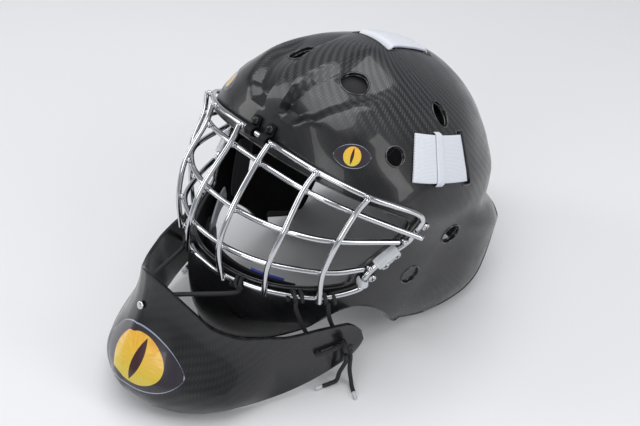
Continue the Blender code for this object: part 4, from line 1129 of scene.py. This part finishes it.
# %% Clips and screws on both sides
for side, word in SIDES:
    turned = np.array([side, 1, 1])
    for spot, middle, length, away, screws in CLIPS:
        points, normals = stretch_of_wire(np.array(middle), length, 12)
        across, normals = clip_axes(points, normals, np.array(away, float))
        points = points + normals * GAP
        clip = clip_piece(f"{spot}_saddle_{word}", points * turned, across * turned, normals * turned,
                          LINER if spot == "top" else CLEAR)
        tie(clip, "mask", f"{spot}_clip_{word}")
        on_top = 2 * GAP - WIRE_STANDOFF + CLIP_THICK
        for screw, share in screws.items():
            at = share * (len(points) - 1)
            centre, sideways, outwards = [np.array([np.interp(at, range(len(points)), v[:, k]) for k in range(3)])
                                          for v in (points, across, normals)]
            base = centre + sideways * SCREW_REACH + outwards * on_top
            head = screw_piece(f"{screw}_head_{word}", placed(base * turned), TILT @ (outwards * turned),
                               SCREW_RADIUS, SCREW_HEIGHT, metal=BLACK_STEEL if spot == "top" else STEEL)
            tie(head, "mask", f"{screw}_screw_{word}")
    base = off_side(*CORNER_SCREW, GAP) * turned
    normal = (off_side(*CORNER_SCREW, 1.0) - off_side(*CORNER_SCREW, 0)) * turned
    head = screw_piece(f"corner_head_{word}", placed(base), TILT @ normal, SCREW_RADIUS, SCREW_HEIGHT)
    tie(head, "mask", f"corner_screw_{word}")
print("clips and screws", 2 * len(CLIPS), 2 * (1 + sum(len(row[-1]) for row in CLIPS)))

# %% [markdown]
# ## Padding
# The lining is foam under cloth. Each pad is a patch of the shell's own curve, its outer face flat
# against the shell and its inner face crowned, thinning to a rounded edge all the way round.

# %% Pads
def patch(turns, heights, inwards, side=1):
    """A grid over the plain shell, set inwards; turns in degrees."""
    grid_turn, grid_z = np.meshgrid(side * np.radians(turns), heights)
    return shell_point(grid_turn, grid_z, inwards, plain=True)


def pad_piece(name, outer, inner, material, crown=.22):
    """A pad between two grids; the inner face swells in the middle and the rim is rounded over."""
    rows, columns = outer.shape[:2]
    v, u = np.meshgrid(np.linspace(-1, 1, columns), np.linspace(-1, 1, rows))
    round_off = ((1 - np.abs(u)**6) * (1 - np.abs(v)**10))[..., None]
    puff = (1 + crown * (1 - u**2) * (1 - v**4))[..., None]
    body = inner - outer
    near = outer + body * (1 - np.sqrt(round_off)) * .45
    far = outer + body * (.55 + (np.sqrt(round_off) * puff / (1 + crown) - .55 * np.sqrt(round_off)))
    made = slab_piece(name, near, np.where(round_off > .02, far, outer + body * .5), [material], .0008, 2)
    return made


for name, turns, heights, near, far, finish in PADS:
    wide = np.linspace(turns[0], turns[-1], 61)
    tall = np.linspace(heights[0], heights[-1], 15)
    outer, inner = placed(patch(wide, tall, near)), placed(patch(wide, tall, far))
    if finish == "plastic":
        made = slab_piece("chin_cup_shell", outer, inner, [LINER], .0012, 3)
    else:
        made = pad_piece(name + "_foam", outer, inner, FOAM if finish == "foam" else SWEAT_CLOTH)
    tie(made, "mask", name)

# How deep below the shell's outer face the side pads start and end.
TEMPLE_DEPTHS, JAW_DEPTHS = (.0045, .017), (.0048, .015)
for side, word in SIDES:
    wide, tall = np.linspace(62, 110, 41), np.linspace(.031, .061, 15)
    made = pad_piece(f"temple_foam_{word}", *[placed(patch(wide, tall, depth, side)) for depth in TEMPLE_DEPTHS],
                     FOAM)
    tie(made, "mask", f"temple_pad_{word}")
    grid_y, grid_z = np.meshgrid(np.linspace(-.021, -.002, 15), np.linspace(-.050, .006, 31))
    wall = [placed(np.stack([side * (side_of_shell(grid_y, grid_z) - depth), grid_y, grid_z], -1))
            for depth in JAW_DEPTHS]
    tie(pad_piece(f"jaw_foam_{word}", *wall, FOAM), "mask", f"jaw_pad_{word}")


CROWN_RIM = .118                  # height of the crown pad's rim


def crown_foam():
    """The round pad under the crown, with a raised middle and a rounded rim."""
    share = np.sin(np.linspace(0, math.pi / 2, 22))
    heights = CROWN_RIM + (LEVELS[-1] - CROWN_RIM) * share
    grid_turn, grid_z = np.meshgrid(np.linspace(0, math.tau, 72, endpoint=False), heights)
    rim = np.sqrt(np.clip(1 - (1 - share) ** 8, 0, 1))[:, None]
    skins = []
    for depth in (.0145 + .0045 * (1 - rim), .0235 - .0045 * (1 - rim)):
        skin = shell_point(grid_turn, grid_z, depth, plain=True)
        skin[-1] = (0, skin[-1, :, 1].mean(), LEVELS[-1] - float(depth[-1, 0]))
        skins.append(placed(skin))
    rows, columns = skins[0].shape[:2]
    points = np.concatenate([s[:-1].reshape(-1, 3) for s in skins] + [s[-1:, 0] for s in skins])
    index = np.arange((rows - 1) * columns).reshape(rows - 1, columns)
    wrap, skin = np.roll(index, -1, axis=1), (rows - 1) * columns
    quads = np.stack([index[:-1], wrap[:-1], wrap[1:], index[1:]], -1).reshape(-1, 4)
    faces = [tuple(q) for q in quads] + [tuple(q[::-1] + skin) for q in quads]
    for a, b, c, d in zip(index[-1], wrap[-1], index[0], wrap[0]):
        faces += [(a, b, 2 * skin), (skin + b, skin + a, 2 * skin + 1), (d, c, skin + c, skin + d)]
    return new_piece("crown_foam", points, faces, [FOAM])


crown = crown_foam()
tie(crown, "mask", "crown_pad")

# %% [markdown]
# ## Harness
# Flat woven elastic runs through the slots of the shell and inside it to the back plate. Rows of
# stitches at the ends are made with Geometry Nodes: one thread bar copied along guide lines.

# %% Bands of webbing
def outward_normals(grid):
    """Unit normals of a grid of points, pointing away from the middle of the head."""
    normal = np.cross(np.gradient(grid, axis=0), np.gradient(grid, axis=1))
    normal /= np.linalg.norm(normal, axis=-1, keepdims=True)
    facing = ((grid - (0, .03, .03)) * normal).sum(-1, keepdims=True)
    return normal * np.sign(facing)


def finer(grid, lifts, rows, columns):
    """The same band with more rows and columns."""
    lifts = np.array(lifts, float)
    walked = np.concatenate([[0], np.cumsum(np.linalg.norm(np.diff(grid[:, grid.shape[1] // 2], axis=0), axis=1))])
    at = np.linspace(0, walked[-1], rows)
    eased_lift = smooth_table(walked, lifts)(at)
    down = np.stack([np.column_stack([smooth_table(walked, grid[:, j, k])(at) for k in range(3)])
                     for j in range(grid.shape[1])], 1)
    here = np.linspace(0, grid.shape[1] - 1, columns)
    made = np.stack([np.column_stack([np.interp(here, range(grid.shape[1]), down[i, :, k]) for k in range(3)])
                     for i in range(rows)])
    return made, eased_lift


def band_piece(name, surface, lifts, rows, material, thick=STRAP_THICK):
    surface, lifts = finer(surface, lifts, rows, 13)
    middle = surface + outward_normals(surface) * lifts[:, None, None]
    normal = outward_normals(middle)
    outer, inner = placed(middle + normal * thick / 2), placed(middle - normal * thick / 2)
    return slab_piece(name, outer, inner, [material], .0006, 2), placed(middle + normal * thick / 2)


def strap_bands():
    """Every band's surface grid and its lift off the shell, row by row."""
    outside, inside = GAP + STRAP_THICK / 2 + .0001, -(SHELL_WALL + 3 * GAP + STRAP_THICK / 2)
    across = np.linspace(-STRAP_WIDTH / 2, STRAP_WIDTH / 2, 5)
    front, rear = CROWN_SLOTS
    rows = [front - .012, front - .008, front - .0040, front + .0035, front + .012, (front + rear) / 2,
            rear - .012, rear - .0035, rear + .0040, rear + .010, rear + .022, rear + .034, rear + .046,
            rear + .056, rear + .066]
    surface = [np.stack([across, 0 * across + y, top_of_shell(across, y)], -1) for y in rows]
    bands = {"crown_strap": (np.array(surface), [inside] * 3 + [outside + .0002] * 5 + [inside] * 7, 110)}
    turns = [67.5, 75, 83, 91, 97, SIDE_SLOT[0] + .9, SIDE_SLOT[1] - .9, 112, 122, 132, 142, 150, 157]
    lifts = [outside] * 6 + [inside] * 7
    for side, word in SIDES:
        grid_z, grid_turn = np.meshgrid(np.linspace(*SIDE_STRAP, 5), side * np.radians(turns))
        bands[f"side_strap_{word}"] = (shell_point(grid_turn, grid_z, plain=True), lifts, 100)
        grid_z, grid_turn = np.meshgrid(np.linspace(*LOWER_STRAP, 4), np.radians(np.linspace(124, 149, 7)))
        base = shell_point(grid_turn, grid_z, plain=True)
        relief = shell_point(grid_turn, grid_z) - base
        surface = base + relief * (1 - smoothstep(2.05, 2.35, grid_turn))[..., None]
        bands[f"lower_strap_{word}"] = (surface * (side, 1, 1), [inside] * 7, 60)
        sling = [np.array([shell_point(side * math.radians(turn), z + shift, plain=True)
                           for shift in (-SLING_WIDTH / 2, 0, SLING_WIDTH / 2)]) for turn, z, _ in CHIN_SLING]
        bands[f"chin_sling_{word}"] = (np.array(sling), [-depth for _, _, depth in CHIN_SLING], 30)
    return bands


strap_faces = {}
for name, (surface, lifts, rows) in strap_bands().items():
    made, strap_faces[name] = band_piece(name.replace("strap", "webbing").replace("sling", "sling_webbing"), surface,
                                         lifts, rows, ELASTIC)
    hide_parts(name)
    if name.startswith(("side", "lower")):
        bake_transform(made)
    else:
        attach(made, "mask")


# %% Keepers that hold the side webbing's free end
for side, word in SIDES:
    lift = GAP + STRAP_THICK + .0004
    wide, tall = np.linspace(80, 84, 9), np.linspace(SIDE_STRAP[0] - .0022, SIDE_STRAP[1] + .0022, 25)
    rise = np.clip(np.minimum(tall - tall[0], tall[-1] - tall) / .0022, 0, 1)[:, None]
    keeper = slab_piece(f"strap_keeper_{word}", placed(patch(wide, tall, -lift * rise - .0016, side)),
                        placed(patch(wide, tall, -lift * rise - .0002, side)), [ELASTIC], .0005, 2)
    tie(keeper, "mask")


# %% Stitches, by Geometry Nodes
def stitch_tree():
    tree = bpy.data.node_groups.new("stitch_row", "GeometryNodeTree")
    for name, kind, value in (("Guide", "NodeSocketGeometry", None), ("Length", "NodeSocketFloat", .0022),
                              ("Width", "NodeSocketFloat", .0006), ("Spacing", "NodeSocketFloat", .0031),
                              ("Finish", "NodeSocketMaterial", None)):
        socket = tree.interface.new_socket(name, in_out="INPUT", socket_type=kind)
        if value is not None:
            socket.default_value = value
    tree.interface.new_socket("Stitches", in_out="OUTPUT", socket_type="NodeSocketGeometry")
    enter, leave = tree.nodes.new("NodeGroupInput"), tree.nodes.new("NodeGroupOutput")
    line = tree.nodes.new("GeometryNodeMeshToCurve")
    spots = tree.nodes.new("GeometryNodeCurveToPoints")
    spots.mode = "LENGTH"
    thread = tree.nodes.new("GeometryNodeMeshCube")
    size = tree.nodes.new("ShaderNodeCombineXYZ")
    copies = tree.nodes.new("GeometryNodeInstanceOnPoints")
    real = tree.nodes.new("GeometryNodeRealizeInstances")
    coat = tree.nodes.new("GeometryNodeSetMaterial")
    for start, end in ((enter.outputs["Guide"], line.inputs["Mesh"]), (line.outputs[0], spots.inputs["Curve"]),
                       (enter.outputs["Spacing"], spots.inputs["Length"]), (enter.outputs["Width"], size.inputs[0]),
                       (enter.outputs["Width"], size.inputs[1]), (enter.outputs["Length"], size.inputs[2]),
                       (size.outputs[0], thread.inputs["Size"]), (spots.outputs["Points"], copies.inputs["Points"]),
                       (spots.outputs["Rotation"], copies.inputs["Rotation"]),
                       (thread.outputs["Mesh"], copies.inputs["Instance"]),
                       (copies.outputs[0], real.inputs[0]), (real.outputs[0], coat.inputs["Geometry"]),
                       (enter.outputs["Finish"], coat.inputs["Material"]), (coat.outputs[0], leave.inputs[0])):
        tree.links.new(start, end)
    return tree


STITCHES = stitch_tree()


def stitched(name, lines):
    """Stitches along lines of points, which become the edges of a guide mesh."""
    data = bpy.data.meshes.new(name)
    points, edges = [], []
    for line in lines:
        start = len(points)
        points += [tuple(p) for p in line]
        edges += [(start + k, start + k + 1) for k in range(len(line) - 1)]
    data.from_pydata(points, edges, [])
    made = bpy.data.objects.new(name, data)
    bpy.context.scene.collection.objects.link(made)
    modifier = made.modifiers.new("stitches", "NODES")
    modifier.node_group = STITCHES
    for socket in STITCHES.interface.items_tree:
        if socket.in_out == "INPUT" and socket.name == "Finish":
            modifier[socket.identifier] = THREAD
    finish_modifiers(made)
    print(name, len(made.data.polygons) // 6, "stitches")
    return made


def strap_rows(grid, rows):
    """Stitch lines across a band along the given rows, clear of its edges and just above its face."""
    normal = outward_normals(grid)
    return [grid[row, 1:-1] + normal[row, 1:-1] * .0001 for row in rows]


lines = []
for side, word in SIDES:
    lines += strap_rows(strap_faces[f"side_strap_{word}"], (2, 5))
tie(stitched("harness_stitches", lines), "mask")

# %% [markdown]
# ## Back plate
# A moulded plate closes the rear of the shell. It is a patch of the same curve with its own
# rounded edge, lined with one foam pad.

# %% Back plate and its pad
def plate_skins(inset, near, far, rows=48, columns=61):
    heights, reach = np.array(PLATE_OUTLINE)[:, 0], np.array(PLATE_OUTLINE)[:, 1]
    levels = np.linspace(heights[0], heights[-1], rows)
    if inset:
        levels = np.linspace(heights[0] + .012, heights[-1] - .012, rows)
    wide = smooth_table(heights, reach)(levels) - inset
    skins = []
    for depth in (near, far):
        x = wide[:, None] * np.linspace(-1, 1, columns)[None]
        z = np.broadcast_to(levels[:, None], x.shape)
        turn = np.arctan2(x, widest_y(z) - rear_of_shell(x, z))
        skins.append(placed(shell_point(turn, z, depth, plain=True)))
    return skins


plate = slab_piece("rear_plate", *plate_skins(0, 0, SHELL_WALL), [BLACK_COMPOSITE], .0012, 3)
# The plate carries the weave's painted sheen almost in full.
set_values(plate, "weave", np.full(len(plate.data.vertices), .9))
tie(plate, "back_plate", "back_plate")
plate_pad = pad_piece("rear_plate_foam", *plate_skins(.009, .0074, .0165), FOAM)
tie(plate_pad, "back_plate", "back_plate_pad")

# %% [markdown]
# ## Throat guard
# The guard is a curved plate with a swollen front, cut to a peak in the middle so that it tucks
# under the cage. Its ends are round, and each has two holes for a lace.

# %% The guard's surface
def guard_half(t, count):
    """Points from the middle to the left end, on the line that is a share t of the way down the guard."""
    top, bottom = smooth_path(GUARD_TOP, count), smooth_path(GUARD_BOTTOM, count)
    out = np.cross(bottom - top, np.gradient(top + bottom, axis=0))
    out /= np.linalg.norm(out, axis=1, keepdims=True)
    swell = np.interp(np.linspace(0, 1, count), *np.transpose(GUARD_BULGE)) * math.sin(math.pi * t**GUARD_BULGE_LOW)
    return top + (bottom - top) * t + out * swell[:, None]


GUARD_LINES = {}


def guard_point(s, t):
    """A point of the guard's outer face: s from -1 (right end) to 1, t from 0 (top) to 1."""
    key = round(float(t), 4)
    if key not in GUARD_LINES:
        GUARD_LINES[key] = guard_half(key, 81)
    row, at = GUARD_LINES[key], np.linspace(0, 1, 81)
    point = np.array([np.interp(abs(s), at, row[:, k]) for k in range(3)])
    return point * (1 if s >= 0 else -1, 1, 1)


def guard_grid(rows, columns):
    """The guard's outer face, its ends drawn together into a round."""
    grid = np.empty((rows, columns, 3))
    for j, s in enumerate(np.linspace(-1, 1, columns)):
        over = max(0, (abs(s) - GUARD_END) / (1 - GUARD_END))
        spread = max(.35, math.sqrt(max(0, 1 - over**2)))
        for i, t in enumerate(np.linspace(.5 - spread / 2, .5 + spread / 2, rows)):
            grid[i, j] = guard_point(s, t)
    grid[..., 2] = np.maximum(grid[..., 2], -MASK_HEIGHT)
    return grid


def guard_normal(s, t):
    """The guard's outward direction."""
    along = guard_point(s + .01, t) - guard_point(s - .01, t)
    down = guard_point(s, min(t + .05, 1)) - guard_point(s, max(t - .05, 0))
    normal = np.cross(down, along)
    return normal / np.linalg.norm(normal) * (-1 if normal[1] > 0 else 1)


def guard_skins(rows=40, columns=161):
    outer = guard_grid(rows, columns)
    normal = np.cross(np.gradient(outer, axis=0), np.gradient(outer, axis=1))
    normal /= np.linalg.norm(normal, axis=-1, keepdims=True)
    normal *= np.sign((normal * (outer - (0, -.05, -.06))).sum(-1, keepdims=True))
    inner = outer - normal * GUARD_WALL
    inner[..., 2] = np.maximum(inner[..., 2], -MASK_HEIGHT)
    return outer, inner


guard_outer, guard_inner = guard_skins()
guard = slab_piece("guard_plate", guard_outer, guard_inner, [GUARD_COMPOSITE, INNER_FACE, CUT_EDGE], .0010, 3)
holes = []
for _, s, t in GUARD_HOLES:
    for side, _ in SIDES:
        holes.append((*post_mesh(guard_point(side * s, t), guard_normal(side * s, t), LACE_HOLE, sides=24,
                                 reach=.010), np.zeros((48, 2))))
cut_with(guard, "lace_holes", joined(holes)[:2])
guard.data.transform(Matrix.Translation(LIFT))
guard.data.shade_smooth()
guard.data.set_sharp_from_angle(angle=math.radians(50))
spots = np.array([tuple(v.co) for v in guard.data.vertices]) - LIFT
# The guard's painted sheen of the weave is strongest low in its middle.
set_values(guard, "weave", .12 + .5 * smoothstep(-.02, -.09, spots[:, 2]) * smoothstep(.09, .02, np.abs(spots[:, 0])))
tie(guard, "throat_guard", "throat_guard")
ahead = guard_normal(0, RIVET_PLACE)
rivet = screw_piece("guard_rivet_head", standing(guard_point(0, RIVET_PLACE) + ahead * 3 * GAP), ahead,
                    RIVET_RADIUS, RIVET_HEIGHT, bare=True)
tie(rivet, "throat_guard", "guard_rivet")

# %% [markdown]
# ## Laces
# Braided cord holds the guard. It wraps the chin wire of the cage, runs down to the guard and is
# knotted at each side, where two loose ends with clear tips lie on the floor.

# %% Routes of the laces
def over_chin_wire(x, drop=0.0):
    """A lace's place over the chin wire, relative to the face centre, or this much lower down."""
    away = WIRE_STANDOFF + WIRE_RADIUS + LACE_RADIUS + .0008
    return tilt(off_front(x, CHIN_Z + CHIN_RISE * x**2 - drop, away))


def centre_lace():
    """From the chin wire, down inside the guard's middle and back up."""
    reach = GUARD_WALL + LACE_RADIUS + .0020
    left = [over_chin_wire(.033), over_chin_wire(.033, .008)]
    left += [guard_point(s, t) - guard_normal(s, t) * reach for s, t in ((.09, .10), (.06, .18))]
    lowest = guard_point(0, RIVET_PLACE) - guard_normal(0, RIVET_PLACE) * reach
    return left + [lowest] + [p * (-1, 1, 1) for p in reversed(left)]


def side_lace():
    """A loop: from the chin wire through the inner hole, across the guard's face and back through the outer."""
    legs = []
    for x, (_, s, t) in zip((.070, .084), GUARD_HOLES):
        hole, normal = guard_point(s, t), guard_normal(s, t)
        low = over_chin_wire(x, .008)
        legs.append([over_chin_wire(x), low, (low + hole - normal * .009) / 2 - (.003, 0, 0),
                     hole - normal * .0090, hole, hole + normal * .0030])
    return legs[0] + legs[1][::-1]


def tilt(point):
    """A point of the mask's upright frame, in the standing frame."""
    return TILT @ np.asarray(point)


def knot_centre():
    """The knot sits on the guard's face, over the lace at the outer hole."""
    return guard_point(*GUARD_HOLES[1][1:]) + guard_normal(*GUARD_HOLES[1][1:]) * (.0032 + LACE_RADIUS + GAP)


def tail_route(aside, middle):
    """A loose end: out of the knot, down past the guard's lower edge, and along the floor to its tip."""
    start = knot_centre() + guard_normal(*GUARD_HOLES[1][1:]) * KNOT_HEIGHT / 2
    start += (0, aside, -KNOT_RADIUS - GAP)
    floor = LACE_RADIUS + .0002 - MASK_HEIGHT
    return [start, start + (.0005, 0, -.008)] + [(x, y, floor + lift) for x, y, lift in middle]


def held_lace(name, points, start):
    made = cord_piece(name.replace("lace", "cord"), standing(smooth_path(points, 160)), LACE_RADIUS, [CORD], 12)
    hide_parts(name)
    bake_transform(made)


rivet_inside = guard_point(0, RIVET_PLACE)
held_lace("lace_centre", centre_lace(), (0, over_chin_wire(.033)[1], over_chin_wire(.033)[2]))
for side, word in SIDES:
    route = np.array(side_lace()) * (side, 1, 1)
    held_lace(f"lace_{word}", route, (route[0] + route[-1]) / 2)


# %% Wraps round the chin wire
def wrap_coil(x, side, turns=2.6, pitch=.0036):
    """A few turns of cord round the chin wire."""
    spin = np.linspace(0, turns * math.tau, int(turns * 22))
    run = (spin / math.tau - turns / 2) * pitch
    middle = np.array([chin_wire(x + shift) for shift in run])
    ahead = np.gradient(middle, axis=0)
    ahead /= np.linalg.norm(ahead, axis=1, keepdims=True)
    out = np.array([plan_normal(chin_wire, x) for _ in run])
    out -= ahead * (out * ahead).sum(1, keepdims=True)
    out /= np.linalg.norm(out, axis=1, keepdims=True)
    up = np.cross(ahead, out)
    reach = WIRE_RADIUS + LACE_RADIUS * .9
    coil = middle + reach * (np.cos(spin)[:, None] * out + np.sin(spin)[:, None] * up)
    return placed(coil * (side, 1, 1))


coils = [cord_mesh(wrap_coil(x, side), LACE_RADIUS * .9, 10) for x in (.033, .070, .084) for side, _ in SIDES]
coil_points, coil_faces, coil_map = joined(coils)
wraps = new_piece("lace_wraps", coil_points, coil_faces, [CORD], uv=coil_map, smooth=60)
tie(wraps, "mask")


# %% Knots and loose ends
def knot_path(count=110):
    """An overhand knot's closed line, a trefoil drawn flat."""
    t = np.linspace(0, math.tau, count, endpoint=False)
    return np.stack([np.sin(t) + 2 * np.sin(2 * t), np.cos(t) - 2 * np.cos(2 * t), -np.sin(3 * t)], -1) / 3


def tail_length(path):
    return float(np.linalg.norm(np.diff(path, axis=0), axis=1).sum())


for side, word in SIDES:
    turned = (side, 1, 1)
    normal = guard_normal(side * GUARD_HOLES[1][1], GUARD_HOLES[1][2])
    turn = np.array(Vector(normal).to_track_quat("Z", "Y").to_matrix())
    shape = knot_path() * (KNOT_RADIUS - LACE_RADIUS * .55, KNOT_RADIUS - LACE_RADIUS * .55, .0042)
    middle = standing(knot_centre() * turned) + normal * KNOT_HEIGHT / 2
    knot = cord_piece(f"knot_{word}", middle + shape @ turn.T, LACE_RADIUS * .92, [CORD], 10, closed=True)
    tie(knot, "throat_guard", f"lace_knot_{word}")
    for end, (aside, after) in TAILS.items():
        path = standing(smooth_path(tail_route(aside, after), 40) * turned)
        tail = cord_piece(f"loose_end_{end}_{word}", path, LACE_RADIUS, [CORD], 12, round_ends=False)
        ahead = (path[-1] - path[-2]) / np.linalg.norm(path[-1] - path[-2])
        tip_path = path[-1] + ahead * np.linspace(GAP, GAP + TIP_LENGTH, 8)[:, None]
        tip = cord_piece(f"cord_tip_{end}_{word}", tip_path, LACE_RADIUS, [CLEAR], 12)
        tie(tail, "throat_guard", f"lace_tail_{end}_{word}")
        tie(tip, "throat_guard", f"lace_tip_{end}_{word}")
        print(tail.name, round(tail_length(path), 4), "m")

# %% [markdown]
# ## Decals
# The eyes are thin printed patches that follow the surface under them. The patch carries its own
# map, from -1 to 1, and how close each point is to its edge, which the paint reads.

# %% Almond patches
def almond_patch(name, surface_at, long, high, body, rows=21, columns=49, lift=.00035):
    """A patch whose outline is an almond; surface_at takes metres along and up and gives place and normal."""
    u, v = np.meshgrid(np.linspace(-1, 1, columns), np.linspace(-1, 1, rows))
    arc = (1 - np.abs(u) ** 2.2) ** .75 + .02
    along, up = u * long, v * arc * high
    outer = np.empty((rows, columns, 3))
    under = np.empty((rows, columns, 3))
    for i in range(rows):
        for j in range(columns):
            place, normal = surface_at(along[i, j], up[i, j])
            outer[i, j], under[i, j] = place + normal * lift, place + normal * .00005
    uv = np.stack([along / high, up / high], -1).reshape(-1, 2)
    points = np.concatenate([outer.reshape(-1, 3), under.reshape(-1, 3)])
    made = new_piece(name, points, slab_faces(rows, columns), [EYE], uv=np.concatenate([uv, uv]))
    lid = np.maximum(np.abs(v), np.abs(u) ** 1.6).reshape(-1)
    set_values(made, "lid", np.concatenate([lid, lid]))
    tie(made, body)
    return made


def shell_eye_surface(side):
    """Gives places on the shell round the brow eye's middle, turned so that its outer corner is raised."""
    turn, height, lean = math.radians(41.5), .0745, math.radians(10)
    reach = float(np.linalg.norm(base_point(turn + .01, height) - base_point(turn, height))) / .01

    def surface_at(along, up):
        a = along * math.cos(lean) - up * math.sin(lean)
        b = along * math.sin(lean) + up * math.cos(lean)
        heading, z = turn + a / reach, height + b
        place = shell_point(heading, z)
        normal = shell_point(heading, z, -1.0) - shell_point(heading, z)
        return placed(place * (side, 1, 1)), TILT @ (normal * (side, 1, 1))

    return surface_at


def guard_eye_surface(along, up):
    s, t = EYE_PLACE[0] + along / EYE_SPAN, EYE_PLACE[1] - up / EYE_DROP
    point = guard_point(s, min(max(t, .02), .98))
    return standing(point), guard_normal(s, min(max(t, .06), .94))


EYE_PLACE = (.055, .55)           # middle of the guard's eye: share along the guard, share down it
EYE_SPAN, EYE_DROP = .232, .135   # metres along the guard's half and down its front, near the eye
BROW_EYE, GUARD_EYE = (.0150, .0085), (.041, .027)     # half length and half height
for side, word in SIDES:
    almond_patch(f"brow_eye_{word}", shell_eye_surface(side), *BROW_EYE, "mask")
almond_patch("guard_eye", guard_eye_surface, *GUARD_EYE, "throat_guard")


# %% A blank blue label on the chin cup
LABEL_TURNS, LABEL_HEIGHTS = np.linspace(11, 23, 9), np.linspace(-.0575, -.0525, 5)
label_faces = [placed(patch(LABEL_TURNS, LABEL_HEIGHTS, depth)) for depth in (.01565, .0154)]
tie(slab_piece("blank_label", *label_faces, [LABEL]), "mask")


# %% [markdown]
# ## The studio
# A pale floor that sweeps up behind, a large soft light overhead, and two strip lights whose
# reflections draw the long highlights in the clear coat and on the wires.

# %% Floor, lights and camera
CAMERA_TURN, CAMERA_RISE = math.radians(48), math.radians(39.6)


def studio_floor():
    made = start_material("studio_floor", (.74, .74, .755), .45)[0]
    rows = 40
    profile = [(-3.0 + 4.6 * k / rows, 0.0) for k in range(rows + 1)]
    profile += [(1.6 + 1.2 * math.sin(a), 1.2 - 1.2 * math.cos(a)) for a in np.linspace(.05, math.pi / 2, 24)]
    profile += [(2.8, 5.0)]
    turn = Matrix.Rotation(CAMERA_TURN, 3, "Z")
    points = [turn @ Vector((x, y, z)) for y, z in profile for x in (-6, 6)]
    faces = [(2 * k, 2 * k + 1, 2 * k + 3, 2 * k + 2) for k in range(len(profile) - 1)]
    data = bpy.data.meshes.new("studio_floor")
    data.from_pydata([tuple(p) for p in points], [], faces)
    data.materials.append(made)
    data.shade_smooth()
    floor = bpy.data.objects.new("studio_floor", data)
    floor.location.z = -GAP
    bpy.context.scene.collection.objects.link(floor)


def area_light(name, place, aim, wide, tall, power, colour=(1, 1, 1)):
    data = bpy.data.lights.new(name, "AREA")
    data.shape = "RECTANGLE"
    data.size, data.size_y, data.energy, data.color = wide, tall, power, colour
    light = bpy.data.objects.new(name, data)
    bpy.context.scene.collection.objects.link(light)
    light.location = place
    light.rotation_euler = (Vector(aim) - Vector(place)).to_track_quat("-Z", "Y").to_euler()


studio_floor()
area_light("overhead", (0, 0, 1.9), (0, 0, 0), 1.6, 1.6, 24)
area_light("left_strip", (-1.3, -.9, .9), (0, 0, .1), .5, 1.6, 9)
area_light("right_strip", (1.5, .5, .9), (0, 0, .1), .5, 1.6, 9)
area_light("front_fill", (.6, -1.8, 1.0), (0, 0, .1), 1.2, .8, 8)

world = bpy.data.worlds.new("studio")
world.use_nodes = True
world.node_tree.nodes["Background"].inputs[0].default_value = (.86, .88, .92, 1)
world.node_tree.nodes["Background"].inputs[1].default_value = .42
bpy.context.scene.world = world

camera_data = bpy.data.cameras.new("camera")
camera_data.lens = 50.6
camera = bpy.data.objects.new("camera", camera_data)
bpy.context.scene.collection.objects.link(camera)
back = Vector((math.sin(CAMERA_TURN) * math.cos(CAMERA_RISE), -math.cos(CAMERA_TURN) * math.cos(CAMERA_RISE),
               math.sin(CAMERA_RISE)))
camera.location = (.477, -.4335 + MASK_SHIFT, .6173)
camera.rotation_euler = (-back).to_track_quat("-Z", "Y").to_euler()
bpy.context.scene.camera = camera
bpy.context.scene.view_settings.view_transform = "Standard"
